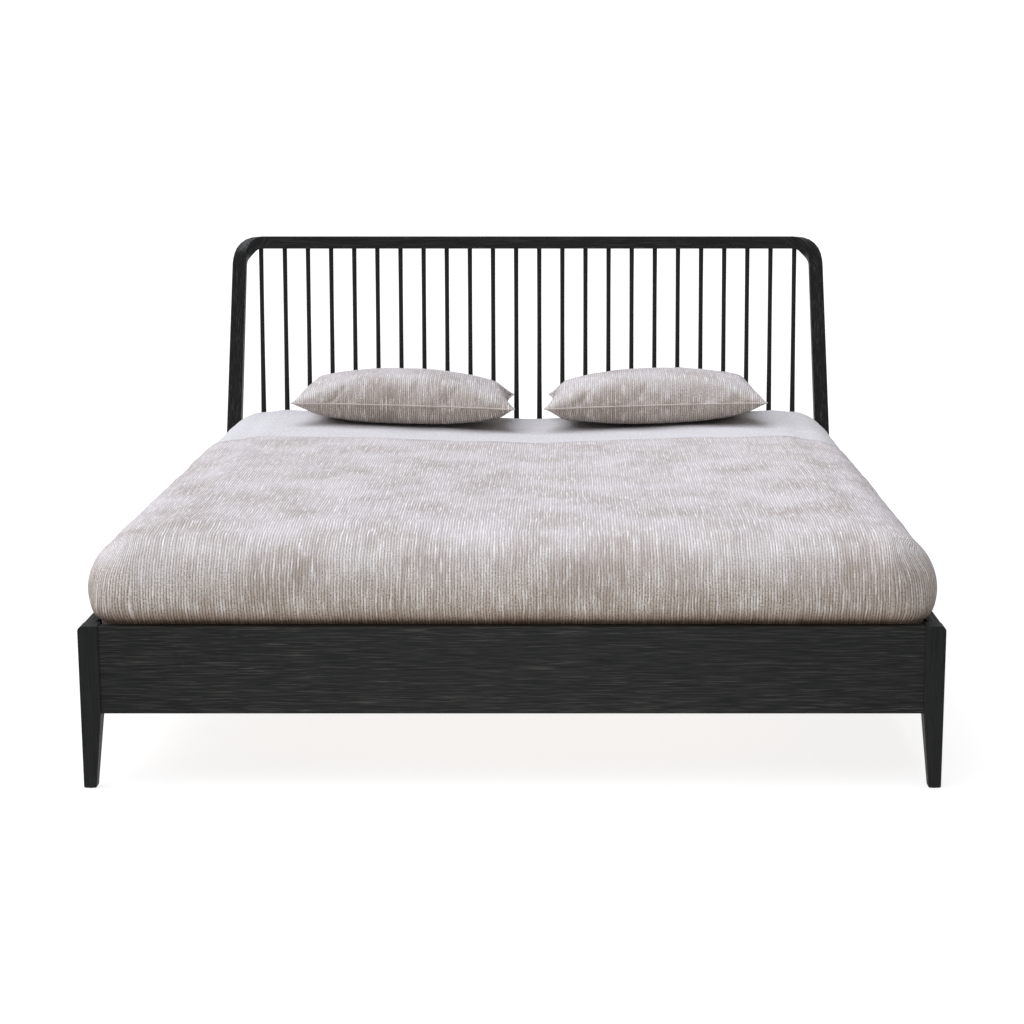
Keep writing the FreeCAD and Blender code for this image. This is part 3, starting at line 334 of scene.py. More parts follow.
def place_mesh(name, points, faces):
    """A new smooth mesh object in the scene."""
    mesh = bpy.data.meshes.new(name)
    mesh.from_pydata([tuple(p) for p in points], [], [tuple(int(i) for i in f) for f in faces])
    mesh.polygons.foreach_set("use_smooth", [True] * len(mesh.polygons))
    piece = bpy.data.objects.new(name, mesh)
    scene.collection.objects.link(piece)
    return piece


def grid_quads(index):
    """The faces of a grid, from its points' numbers."""
    quads = np.stack([index[:-1, :-1], index[:-1, 1:], index[1:, 1:], index[1:, :-1]], -1)
    return quads.reshape(-1, 4)


def grid_border(index):
    """The points' numbers once round a grid's border."""
    return np.concatenate([index[0, :-1], index[:-1, -1], index[-1, :0:-1], index[:0:-1, 0]])


def map_weave(piece, cloth):
    """Gives a piece its weave map: each point's place on the flat cloth, in metres."""
    weave = piece.data.uv_layers.new(name="weave")
    corner_points = np.zeros(len(piece.data.loops), int)
    piece.data.loops.foreach_get("vertex_index", corner_points)
    weave.data.foreach_set("uv", cloth[corner_points].astype(np.float32).ravel())


def shell(name, outer, inner, cloth):
    """A closed piece from an outer and an inner grid of points, with its places on the cloth."""
    rows, columns = outer.shape[:2]
    index = np.arange(rows * columns).reshape(rows, columns)
    quads = grid_quads(index)
    border = grid_border(index)
    ahead = np.roll(border, -1)
    back = rows * columns
    rim = np.stack([border, border + back, ahead + back, ahead], -1)
    faces = [quads, quads[:, ::-1] + back, rim]
    points = np.concatenate([outer.reshape(-1, 3), inner.reshape(-1, 3)])
    piece = place_mesh(name, points, np.concatenate(faces))
    map_weave(piece, np.tile(cloth.reshape(-1, 2), (2, 1)))
    return piece


def finish_piece(piece, material, body, slot, *replaced):
    """Gives a finished piece its material and its body, and hides the nodes that it stands for. The
    slot is not used.
    """
    piece.data.materials.clear()
    piece.data.materials.append(material)
    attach(piece, body)
    if replaced:
        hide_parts(*replaced)


def new_tree(name, *inputs):
    """An empty tree of geometry nodes with named inputs, given as pairs of name and kind."""
    tree = bpy.data.node_groups.new(name, "GeometryNodeTree")
    for label, kind in (("Geometry", "Geometry"),) + inputs:
        tree.interface.new_socket(label, in_out="INPUT", socket_type="NodeSocket" + kind)
    tree.interface.new_socket("Geometry", in_out="OUTPUT", socket_type="NodeSocketGeometry")
    return tree, add(tree, "NodeGroupInput").outputs


def with_tree(name, points, edges, tree, **values):
    """Runs a tree on a path of points and edges, and keeps the result as a plain mesh."""
    path = bpy.data.meshes.new(name)
    path.from_pydata([tuple(p) for p in points], edges, [])
    piece = bpy.data.objects.new(name, path)
    scene.collection.objects.link(piece)
    modifier = piece.modifiers.new(tree.name, "NODES")
    modifier.node_group = tree
    for socket in tree.interface.items_tree:
        if socket.in_out == "INPUT" and socket.name in values:
            modifier[socket.identifier] = values[socket.name]
    evaluated = piece.evaluated_get(bpy.context.evaluated_depsgraph_get())
    mesh = bpy.data.meshes.new_from_object(evaluated)
    piece.modifiers.clear()
    piece.data = mesh
    return piece


def stapled_tape():
    """Sweeps flat tape along each path and sets a staple across it at every board."""
    tree, given = new_tree("stapled_tape", ("Width", "Float"), ("Thickness", "Float"),
                           ("Staples", "Int"), ("Staple", "Vector"), ("Drop", "Vector"),
                           ("Tape", "Material"), ("Wire", "Material"))
    path = add(tree, "GeometryNodeMeshToCurve", {"Mesh": given["Geometry"]})
    level = add(tree, "GeometryNodeSetCurveNormal", {"Curve": path.outputs[0]}, mode="Z_UP")
    flat = add(tree, "GeometryNodeCurvePrimitiveQuadrilateral", {"Width": given["Width"],
                                                                 "Height": given["Thickness"]})
    tape = add(tree, "GeometryNodeCurveToMesh", {"Curve": level.outputs[0], "Fill Caps": True,
                                                 "Profile Curve": flat.outputs[0]})
    woven = add(tree, "GeometryNodeSetMaterial", {"Geometry": tape.outputs[0],
                                                  "Material": given["Tape"]})
    places = add(tree, "GeometryNodeResampleCurve", {"Curve": level.outputs[0],
                                                     "Count": given["Staples"]})
    points = add(tree, "GeometryNodeCurveToPoints", {"Curve": places.outputs[0]}, mode="EVALUATED")
    lowered = add(tree, "GeometryNodeSetPosition", {"Geometry": points.outputs[0],
                                                    "Offset": given["Drop"]})
    crown = add(tree, "GeometryNodeMeshCube", {"Size": given["Staple"]})
    staples = add(tree, "GeometryNodeInstanceOnPoints", {"Points": lowered.outputs[0],
                                                         "Instance": crown.outputs[0]})
    real = add(tree, "GeometryNodeRealizeInstances", {"Geometry": staples.outputs[0]})
    wire = add(tree, "GeometryNodeSetMaterial", {"Geometry": real.outputs[0],
                                                 "Material": given["Wire"]})
    both = add(tree, "GeometryNodeJoinGeometry")
    tree.links.new(woven.outputs[0], both.inputs[0])
    tree.links.new(wire.outputs[0], both.inputs[0])
    add(tree, "NodeGroupOutput", {"Geometry": both.outputs[0]})
    return tree


BOARDS = 14                     # slats on each side of the beam
TAPES = 4                       # two under each side
STAPLE = (0.011, 0.0011, 0.0006)   # crown of a staple

tape_low, tape_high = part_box("slat_straps")
tape_edges = np.unique(np.array([v.co.x for v in nodes["slat_straps"].data.vertices]).round(4))
tape_width = tape_edges[1] - tape_edges[0]
tape_level = (tape_low.z + tape_high.z) / 2
paths = [[(x, tape_low.y, tape_level), (x, tape_high.y, tape_level)]
         for x in tape_edges.reshape(TAPES, -1).mean(1)]
tapes = with_tree("stapled_tapes", [p for path in paths for p in path],
                  [(2 * i, 2 * i + 1) for i in range(TAPES)], stapled_tape(),
                  Width=float(tape_width), Thickness=tape_high.z - tape_low.z, Staples=BOARDS,
                  Staple=STAPLE, Drop=(0, 0, -(tape_high.z - tape_low.z) / 2),
                  Tape=woven_tape("woven_polypropylene"), Wire=steel)
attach(tapes, "slat_base")
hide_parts("slat_straps")

# ---------------------------------------------------------------- bedding forms
# The quilt and the coverlet over it follow one form: a flat top that dips towards the pillows, a
# full round shoulder, and a swell over the rails before both are tucked down inside them.

SHOULDER = 0.128                # radius of the round shoulder
SWELL = 0.034                   # how far the bedding swells out over the rails
WIDEST_Z = 0.430                # height of its widest line
HEAD_SHOULDER = 0.024           # depth of the shoulder at the head, where it is pressed back
CREST = 0.010                   # rise of the top behind the shoulder
CREST_REACH = 0.072             # over which it rises, and at the head
CREST_REACH_HEAD = 0.020
DIP = 0.035                     # hollow down the middle of the top, at the head
DIP_ACROSS = 0.0467             # its slopes, rise by run
DIP_ALONG = 0.0188
DIP_ROUND = 0.13                # rounding of its lowest line
DIP_BLEND = 0.004               # and of its edges
CORNER = 3.4                    # how square the corners are at the rails; 2 is round
BROAD_WAVES = 0.0016            # height of the cloth's unevenness, broad and fine
FINE_WAVES = 0.0010
SETTLED = 0.002                 # how far it lies under its plain form
TUCK_FADE = 0.08                # height over the rails within which it turns smooth
CLOTH_STEP = 0.010              # spacing of the cloth's points

rail_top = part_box("side_rail_left")[1].z
cover_low, cover_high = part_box("coverlet")
quilt_low, quilt_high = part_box("quilt")
core_x = cover_high.x - SHOULDER
core_foot = cover_low.y + SHOULDER
core_head = quilt_high.y - HEAD_SHOULDER
DROP = WIDEST_Z - rail_top
SWELL_RADIUS = (DROP ** 2 + SWELL ** 2) / (2 * SWELL)
SWELL_ANGLE = math.asin(DROP / SWELL_RADIUS)


def smooth(share):
    """Smooth change from 0 to 1."""
    share = np.clip(share, 0.0, 1.0)
    return share * share * (3 - 2 * share)


def over_edge(reach, thinner):
    """Outward and downward from the edge of the flat top, at a distance over it on the cloth."""
    shoulder, swell = SHOULDER - thinner, SWELL_RADIUS - thinner
    first, second = shoulder * math.pi / 2, swell * SWELL_ANGLE
    a = np.clip(reach, 0, first) / shoulder
    b = np.clip(reach - first, 0, second) / swell
    straight = np.maximum(reach - first - second, 0)
    outward = shoulder * np.sin(a) - swell * (1 - np.cos(b))
    return outward, shoulder * (1 - np.cos(a)) + swell * np.sin(b) + straight


def top_height(x, y):
    """Height of the made bed's top: a crown with a broad hollow that deepens towards the head."""
    behind = np.minimum((core_x - np.abs(x)) / CREST_REACH, (y - core_foot) / CREST_REACH)
    crest = CREST * smooth(np.minimum(behind, (core_head - y) / CREST_REACH_HEAD))
    middle = np.sqrt(x ** 2 + DIP_ROUND ** 2) - DIP_ROUND / 6
    hollow = CREST - DIP + DIP_ACROSS * middle + DIP_ALONG * (quilt_high.y - y)
    pressed = -DIP_BLEND * np.logaddexp(-crest / DIP_BLEND, -hollow / DIP_BLEND)
    return WIDEST_Z + SHOULDER + pressed


def waves(x, y, seed, count, shortest, longest):
    """Soft uneven waves between about -1 and 1, from a seeded sum of sines of these lengths."""
    draw = np.random.default_rng(seed)
    total = np.zeros_like(x)
    for length in np.geomspace(shortest, longest, count):
        way, phase = draw.uniform(0, 2 * math.pi, 2)
        total += np.sin(2 * math.pi * (x * math.cos(way) + y * math.sin(way)) / length + phase)
    return total / math.sqrt(count)


def lay(x, y, thinner):
    """Lays points of a flat cloth over the bed; on its top they stay where they are."""
    over_x = np.maximum(np.abs(x) - core_x, 0)
    over_y = np.maximum(core_foot - y, 0) + np.maximum(y - core_head, 0)
    reach = np.maximum(over_x, over_y)
    share = np.minimum(over_x, over_y) / np.maximum(reach, 1e-6)
    turn = np.where(over_x > over_y, share, 2 - share) * math.pi / 4
    outward, down = over_edge(reach, thinner)
    depth = np.where(y > core_head, HEAD_SHOULDER / SHOULDER, 1.0)
    flat_x = np.clip(x, -core_x, core_x)
    flat_y = np.clip(y, core_foot, core_head)
    squarer = (np.cos(turn) ** CORNER + np.sin(turn) ** CORNER) ** (-1 / CORNER) - 1
    outward = outward * (1 + squarer * smooth((down - SHOULDER) / DROP))
    laid_x = flat_x + np.sign(x) * outward * np.cos(turn)
    laid_y = flat_y + np.sign(y - flat_y) * outward * np.sin(turn) * depth
    height = top_height(flat_x, flat_y) - thinner - down
    return np.stack([laid_x, laid_y, height], -1)


def grid_normals(points):
    """Outward unit normals of a grid of points whose rows follow Y and columns X."""
    normals = np.cross(np.gradient(points, axis=1), np.gradient(points, axis=0))
    return normals / np.linalg.norm(normals, axis=-1, keepdims=True)


def drape_form(x, y, thinner):
    """Laid cloth with its soft unevenness, which fades out where it is tucked in."""
    points = lay(x, y, thinner)
    free = smooth((points[..., 2:] - rail_top) / TUCK_FADE)
    broad = BROAD_WAVES * waves(x, y, 11, 9, 0.22, 0.9)
    fine = FINE_WAVES * waves(x, y, 12, 7, 0.09, 0.2)
    return points + grid_normals(points) * ((broad + fine)[..., None] - SETTLED) * free


def cloth_grid(low, high, step=CLOTH_STEP):
    """The cloth's points between two corners, about one step apart."""
    columns = round((high[0] - low[0]) / step) + 1
    rows = round((high[1] - low[1]) / step) + 1
    return np.meshgrid(np.linspace(low[0], high[0], columns), np.linspace(low[1], high[1], rows))


def tuck_reach(tuck_z, thinner):
    """How far a cloth reaches over the edge of the top if it is tucked down to a height."""
    straight = rail_top - tuck_z
    return (SHOULDER - thinner) * math.pi / 2 + (SWELL_RADIUS - thinner) * SWELL_ANGLE + straight


# ---------------------------------------------------------------- mattress
# A sprung mattress in cotton ticking, with rounded corners and edges. Only its underside shows, and
# only while the bedding is lifted off.

TICKING_STRIPE = 0.030          # spacing of its woven stripes
TICKING_THREADS = 700.0         # threads a metre, drawn coarser than real
MATTRESS_CORNER = 0.055         # rounding of its upright corners, and of its edges
MATTRESS_EASE = 0.018
WAVE_PERIOD = 0.3142            # length at which a wave texture of scale 1 repeats


def ticking(name):
    """Cotton ticking: a close twill with narrow woven stripes."""
    material, tree, surface = new_finish(name, Roughness=0.85, Sheen_Weight=0.15)
    place = add(tree, "ShaderNodeTexCoord").outputs["Object"]
    stripes = add(tree, "ShaderNodeTexWave", {"Vector": place, "Scale": WAVE_PERIOD / TICKING_STRIPE},
                  bands_direction="X").outputs["Fac"]
    narrow = add(tree, "ShaderNodeMapRange", {0: stripes, 1: 0.9, 2: 0.95}).outputs[0]
    colour = add(tree, "ShaderNodeMix", {0: narrow, 6: srgb("#E4E2DC"), 7: srgb("#A9AFB6")},
                 data_type="RGBA").outputs[2]
    threads = add(tree, "ShaderNodeTexNoise", {"Vector": place, "Scale": TICKING_THREADS}).outputs[0]
    bump = add(tree, "ShaderNodeBump", {"Strength": 0.3, "Distance": 0.0003, "Height": threads})
    tree.links.new(colour, surface.inputs["Base Color"])
    tree.links.new(bump.outputs[0], surface.inputs["Normal"])
    return material


mattress_low, mattress_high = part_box("mattress")
mattress_size = mattress_high - mattress_low
mattress_middle = (mattress_high + mattress_low) / 2
build = bmesh.new()
bmesh.ops.create_cube(build, size=1.0)
for point in build.verts:
    point.co = [m + c * s for m, c, s in zip(mattress_middle, point.co, mattress_size)]
standing = [e for e in build.edges if abs(e.verts[0].co.z - e.verts[1].co.z) > MATTRESS_EASE]
bmesh.ops.bevel(build, geom=standing, offset=MATTRESS_CORNER, segments=8, affect="EDGES",
                profile=0.5)
rims = [e for e in build.edges if abs(e.verts[0].co.z - e.verts[1].co.z) < 1e-6
        and len(e.link_faces) == 2 and abs(e.calc_face_angle(0)) > 1]
bmesh.ops.bevel(build, geom=rims, offset=MATTRESS_EASE, segments=5, affect="EDGES", profile=0.5)
mattress_mesh = bpy.data.meshes.new("sewn_mattress")
build.to_mesh(mattress_mesh)
build.free()
mattress = bpy.data.objects.new("sewn_mattress", mattress_mesh)
mattress_mesh.polygons.foreach_set("use_smooth", [True] * len(mattress_mesh.polygons))
scene.collection.objects.link(mattress)
finish_piece(mattress, ticking("cotton_ticking"), "bedding", "ticking", "mattress")

# ---------------------------------------------------------------- quilt
# A white cotton quilt with a thin filling, smoothed over the mattress and tucked down between it
# and the rails on all sides. It shows between the coverlet and the headboard.

QUILT_GAP = 0.0050              # under the coverlet's face: its cloth and a little air
QUILT_THICKNESS = 0.024
QUILT_STEP = 0.012              # spacing of its points
QUILT_THREADS = (150.0, 50.0, 1.0)   # across and along, a metre: drawn coarser than the percale's
MATTRESS_CLEAR = 0.001


def washed_cotton(name):
    """Washed white cotton percale: cool white, matt, with a faint uneven thread."""
    material, tree, surface = new_finish(name, Roughness=0.85, Sheen_Weight=0.1,
                                         Sheen_Roughness=0.5)
    cloth = add(tree, "ShaderNodeUVMap", uv_map="weave").outputs[0]
    drawn = add(tree, "ShaderNodeMapping", {"Vector": cloth, "Scale": QUILT_THREADS}).outputs[0]
    threads = add(tree, "ShaderNodeTexNoise", {"Vector": drawn, "Scale": 1.0,
                                               "Detail": 3.0}).outputs[0]
    colour = add(tree, "ShaderNodeMix", {0: threads, 6: srgb("#AEACAD"), 7: srgb("#E2E0E1")},
                 data_type="RGBA").outputs[2]
    bump = add(tree, "ShaderNodeBump", {"Strength": 0.35, "Distance": 0.0008, "Height": threads})
    tree.links.new(colour, surface.inputs["Base Color"])
    tree.links.new(bump.outputs[0], surface.inputs["Normal"])
    return material


def clear_of_mattress(points):
    """Moves points that lie in the mattress out through its nearest side or top."""
    moved = points.copy()
    half = mattress_size.x / 2 + MATTRESS_CLEAR
    low_y, high_y = mattress_low.y - MATTRESS_CLEAR, mattress_high.y + MATTRESS_CLEAR
    top = mattress_high.z + MATTRESS_CLEAR
    x, y, z = points[..., 0], points[..., 1], points[..., 2]
    depths = np.stack([half - np.abs(x), y - low_y, high_y - y, top - z])
    inside = depths.min(0) > 0
    nearest = depths.argmin(0)
    moved[..., 0] = np.where(inside & (nearest == 0), np.sign(x) * half, x)
    moved[..., 1] = np.where(inside & (nearest == 1), low_y, y)
    moved[..., 1] = np.where(inside & (nearest == 2), high_y, moved[..., 1])
    moved[..., 2] = np.where(inside & (nearest == 3), top, z)
    return moved


quilt_reach = tuck_reach(quilt_low.z, QUILT_GAP)
quilt_x, quilt_y = cloth_grid((-core_x - quilt_reach, core_foot - quilt_reach),
                              (core_x + quilt_reach, core_head + quilt_reach), QUILT_STEP)
quilt_outer = drape_form(quilt_x, quilt_y, QUILT_GAP)
quilt_inner = clear_of_mattress(quilt_outer - QUILT_THICKNESS * grid_normals(quilt_outer))
quilt = shell("white_quilt", quilt_outer, quilt_inner, np.stack([quilt_x, quilt_y], -1))
finish_piece(quilt, washed_cotton("washed_white_cotton"), "bedding", "white_cotton", "quilt")

# ---------------------------------------------------------------- coverlet
# A heavy coverlet, woven in greige chenille with fine ribs along the bed and off-white flecks. It
# lies over the foot two thirds of the bed and is tucked in at the foot and sides.

COVER_THICKNESS = 0.004
RIB_PITCH = 0.0064              # between the ribs of the weave
RIB_WANDER = 0.0035             # how far a rib strays from its line
SLUB_LENGTH = 0.070             # of the thicker, paler stretches of its yarn
TUFT = (0.0026, 0.0045)         # its tufts, across and along: drawn coarser than the 1 mm pile
THREAD_TONES = (130.0, 3.5, 1.0)   # changes of tone a metre, from rib to rib and along them
PATCHES = 6.0                   # brushed patches of the pile a metre
PAINTED_TOP_SHEEN = 0.50                # share of a pale cool painted sheen mixed in where the cloth faces up
TUCK_SHADE = (0.372, 0.412)     # heights between which a warm painted shade darkens the cloth, down to the rails
TUCK_SHADE_DEPTH = 0.75
FAN_RADIUS = 0.11               # radius at which the ribs keep their pitch round the foot corners
FAN_START = 0.03                # the ribs turn over this distance beside the corner
FAN_REACH = (0.04, 0.16)        # and between these distances down from the top
FOLD = 0.035                    # the corner's fold stands this far along the side


def chenille(name):
    """Chenille weave: soft ribs of uneven greige yarn, with painted shade in the grooves, and
    off-white slubs.

    Where it faces up, a pale cool sheen is painted into its colour in patches, and close over the
    rails a warm painted shade turns it browner.
    """
    material, tree, surface = new_finish(name, Roughness=0.9, Specular_IOR_Level=0.15,
                                         Sheen_Weight=0.15, Sheen_Roughness=0.4,
                                         Sheen_Tint=srgb("#E6E6FF"))
    cloth = add(tree, "ShaderNodeUVMap", uv_map="weave").outputs[0]
    wander = add(tree, "ShaderNodeTexNoise", {"Vector": cloth, "Scale": 14.0, "Detail": 3.0})
    stray = add(tree, "ShaderNodeVectorMath", {0: wander.outputs["Color"],
                                               1: (2 * RIB_WANDER, 0, 0)}, operation="MULTIPLY")
    drawn = add(tree, "ShaderNodeVectorMath", {0: cloth, 1: stray.outputs[0]}).outputs[0]
    ribs = add(tree, "ShaderNodeTexWave", {"Vector": drawn, "Scale": WAVE_PERIOD / RIB_PITCH},
               bands_direction="X").outputs["Fac"]
    along = add(tree, "ShaderNodeMapping", {"Vector": drawn,
                                            "Scale": (1 / RIB_PITCH, 1 / SLUB_LENGTH, 1)})
    slubs = add(tree, "ShaderNodeTexNoise", {"Vector": along.outputs[0], "Scale": 1.0,
                                             "Detail": 3.0, "Roughness": 0.75}).outputs[0]
    pile = add(tree, "ShaderNodeMapping", {"Vector": cloth, "Scale": (1 / TUFT[0], 1 / TUFT[1], 1)})
    tufts = add(tree, "ShaderNodeTexNoise", {"Vector": pile.outputs[0], "Scale": 1.0,
                                             "Detail": 2.0, "Roughness": 0.7}).outputs[0]
    patches = add(tree, "ShaderNodeTexNoise", {"Vector": cloth, "Scale": PATCHES,
                                               "Detail": 4.0}).outputs[0]
    lengths = add(tree, "ShaderNodeMapping", {"Vector": drawn, "Scale": THREAD_TONES}).outputs[0]
    threads = add(tree, "ShaderNodeTexNoise", {"Vector": lengths, "Scale": 1.0, "Detail": 2.0,
                                               "Roughness": 0.6}).outputs[0]
    light = add(tree, "ShaderNodeMath", {0: threads, 1: patches}, operation="ADD").outputs[0]
    lights = add(tree, "ShaderNodeMapRange", {0: light, 1: 0.80, 2: 1.20}).outputs[0]
    # Painted shade: the colour darkens to a deep brown where the relief of ribs and tufts is low, in
    # the grooves; the same relief drives the bump.
    rib_relief = add(tree, "ShaderNodeMath", {0: ribs, 1: tufts}, operation="ADD").outputs[0]
    groove_shade_mask = add(tree, "ShaderNodeMapRange", {0: rib_relief, 1: 0.38, 2: 0.86}).outputs[0]
    pale = add(tree, "ShaderNodeMapRange", {0: slubs, 1: 0.50, 2: 0.68}).outputs[0]
    dull = add(tree, "ShaderNodeMapRange", {0: tufts, 1: 0.34, 2: 0.62}).outputs[0]
    tone = add(tree, "ShaderNodeMix", {0: lights, 6: srgb("#B0A294"), 7: srgb("#E9E0D6")},
               data_type="RGBA").outputs[2]
    tufted = add(tree, "ShaderNodeMix", {0: dull, 6: srgb("#A89B8E"), 7: tone},
                 data_type="RGBA").outputs[2]
    slubbed = add(tree, "ShaderNodeMix", {0: pale, 6: tufted, 7: srgb("#F4EFEA")},
                  data_type="RGBA").outputs[2]
    groove_shaded = add(tree, "ShaderNodeMix", {0: groove_shade_mask, 6: srgb("#635648"), 7: slubbed},
                  data_type="RGBA").outputs[2]
    place = add(tree, "ShaderNodeTexCoord")
    # Painted sheen: where the cloth faces up, its colour is mixed in patches towards a pale cool
    # grey.
    facing = add(tree, "ShaderNodeSeparateXYZ", {0: place.outputs["Normal"]}).outputs["Z"]
    top_sheen_patches = add(tree, "ShaderNodeMath", {0: facing, 1: patches}, operation="MULTIPLY").outputs[0]
    top_sheen_share = add(tree, "ShaderNodeMapRange", {0: top_sheen_patches, 1: 0.02, 2: 0.7, 3: 0.0, 4: PAINTED_TOP_SHEEN})
    top_sheened = add(tree, "ShaderNodeMix", {0: top_sheen_share.outputs[0], 6: groove_shaded, 7: srgb("#DAD9DF")},
                data_type="RGBA").outputs[2]
    # Painted shade: a warm brown multiplied into the colour close over the rails, strongest at their
    # top and fading out above it and again below it.
    level = add(tree, "ShaderNodeSeparateXYZ", {0: place.outputs["Object"]}).outputs["Z"]
    painted_tuck_shade = add(tree, "ShaderNodeMapRange", {0: level, 1: TUCK_SHADE[0], 2: TUCK_SHADE[1],
                                               3: TUCK_SHADE_DEPTH, 4: 0.0}).outputs[0]
    above = add(tree, "ShaderNodeMapRange", {0: level, 1: 2 * TUCK_SHADE[0] - TUCK_SHADE[1],
                                             2: TUCK_SHADE[0]}).outputs[0]
    shaded = add(tree, "ShaderNodeMath", {0: painted_tuck_shade, 1: above}, operation="MULTIPLY").outputs[0]
    tuck_shaded = add(tree, "ShaderNodeMix", {0: shaded, 6: top_sheened, 7: srgb("#BE9A7C")},
                  data_type="RGBA", blend_type="MULTIPLY").outputs[2]
    bump = add(tree, "ShaderNodeBump", {"Strength": 0.6, "Distance": 0.0016, "Height": rib_relief})
    tree.links.new(tuck_shaded, surface.inputs["Base Color"])
    tree.links.new(bump.outputs[0], surface.inputs["Normal"])
    return material


def thread_map(x, y):
    """Places on the cloth for its weave: at the foot corners the ribs fan out and run down.

    At the fold beside the corner they change back to lie along the bed.
    """
    over_x = np.maximum(np.abs(x) - core_x, 0)
    over_y = np.maximum(core_foot - y, 0)
    reach = np.maximum(over_x, over_y)
    share = np.minimum(over_x, over_y) / np.maximum(reach, 1e-6)
    round_foot = np.where(over_x > over_y, 2 - share, share) * math.pi / 4 * FAN_RADIUS
    beyond = np.maximum(y - core_foot, 0)
    turned = smooth((reach - FAN_REACH[0]) / (FAN_REACH[1] - FAN_REACH[0]))
    fan = smooth(over_x / FAN_START) * turned * (beyond < FOLD)
    across = np.sign(x) * (core_x + round_foot + beyond)
    across = np.where(np.abs(x) > core_x, fan * across + (1 - fan) * x, x)
    down = core_foot - reach
    along = np.where(np.abs(x) > core_x, fan * down + (1 - fan) * y, y)
    return np.stack([across, along], -1)


greige_weave = chenille("greige_chenille")
cover_reach = tuck_reach(cover_low.z, 0.0)
cover_x, cover_y = cloth_grid((-core_x - cover_reach, core_foot - cover_reach),
                              (core_x + cover_reach, cover_high.y))
cover_outer = drape_form(cover_x, cover_y, 0.0)
cover_inner = cover_outer - COVER_THICKNESS * grid_normals(cover_outer)
coverlet = shell("woven_coverlet", cover_outer, cover_inner, thread_map(cover_x, cover_y))
finish_piece(coverlet, greige_weave, "bedding", "woven_greige", "coverlet")

# ---------------------------------------------------------------- pillows
# Two flat pillows in covers of the same chenille, two rectangles sewn together over a thin piping
# and filled until they swell. Their undersides settle on the quilt, and their corners stand out.

PILLOW_CUT = (0.730, 0.465)     # of each rectangle, inside the seam
PILLOW_SIZE = (0.662, 0.400)    # filled, over the seam
PILLOW_CROWN = 0.088            # its height over the seam and its depth under it
PILLOW_BELLY = 0.069
PILLOW_POINTS = (93, 60)        # across and along
PILLOW_SEED = 31
PILLOW_WAVES = 0.0012           # height of the unevenness that the cut sheets start with
PILLOW_APART = 0.03             # half the space between them
PILLOW_FILLING = 3.4            # pressure of the filling while it swells
PILLOW_DAMPING = 2.0
SWELL_STEPS = 15
PILLOW_FLATNESS = (1.4, 1.1)    # in the middle and at the ends; over 1, the sides lie flatter
PILLOW_BELLY_FLATNESS = 1.3
PILLOW_DROOP = 0.30             # how much lower the crown is at the ends
PILLOW_REAR = 0.035             # how much narrower the rear edge is pulled
PILLOW_TILT = 0.6               # share of the quilt's slope that the seam takes
PILLOW_SINK = 0.002             # how far its weight presses it into the quilt
PILLOW_BLEND = 0.004            # rounding where it starts to lie flat
PILLOW_PLACES = {"pillow_left": (-0.3615, 0.0), "pillow_right": (0.3835, 0.0)}
PIPING_RADIUS = 0.0022
PIPING_TURNS = 160.0            # sets the cord's turns to about 2 mm
SEAM_EASE = 4                   # passes that round the cord's turn at the corners
PILLOW_CLEAR = 0.0012           # between pillow and quilt


def cut_rectangles(seed):
    """Two sheets joined at their border, a little apart inside it.

    Returns the points, the faces, the points' flat places and the seam's points.
    """
    columns, rows = PILLOW_POINTS
    x, y = np.meshgrid(np.linspace(-0.5, 0.5, columns) * PILLOW_CUT[0],
                       np.linspace(-0.5, 0.5, rows) * PILLOW_CUT[1])
    u, v = 2 * x / PILLOW_CUT[0], 2 * y / PILLOW_CUT[1]
    apart = np.sqrt((1 - np.abs(u) ** 3) * (1 - np.abs(v) ** 3))
    uneven = PILLOW_WAVES * waves(x, y, seed, 9, 0.05, 0.3) * np.minimum(apart * 3, 1)
    upper = np.stack([x, y, PILLOW_APART * apart + uneven], -1).reshape(-1, 3)
    lower = np.stack([x, y, -PILLOW_APART * apart + uneven], -1).reshape(-1, 3)
    top = np.arange(rows * columns).reshape(rows, columns)
    inside = np.zeros((rows, columns), bool)
    inside[1:-1, 1:-1] = True
    under = top.copy()
    under[inside] = rows * columns + np.arange(inside.sum())
    points = np.concatenate([upper, lower[inside.ravel()]])
    flat = np.concatenate([upper[:, :2], lower[inside.ravel()][:, :2]])
    faces = np.concatenate([grid_quads(top), grid_quads(under[:, ::-1])])
    return points, faces, flat, grid_border(top)


def filled(piece):
    """Lets a closed cover swell over its filling, as a simulated cloth, and returns its points."""
    modifier = piece.modifiers.new("filling", "CLOTH")
    cloth = modifier.settings
    cloth.use_pressure = True
    cloth.uniform_pressure_force = PILLOW_FILLING
    cloth.effector_weights.gravity = 0.0
    cloth.air_damping = PILLOW_DAMPING
    modifier.collision_settings.use_collision = False
    modifier.point_cache.frame_start = 1
    modifier.point_cache.frame_end = SWELL_STEPS
    for step in range(1, SWELL_STEPS + 1):
        scene.frame_set(step)
    mesh = piece.evaluated_get(bpy.context.evaluated_depsgraph_get()).data
    points = np.zeros(3 * len(mesh.vertices), np.float32)
    mesh.vertices.foreach_get("co", points)
    piece.modifiers.clear()
    scene.frame_set(1)
    return points.reshape(-1, 3).astype(float)


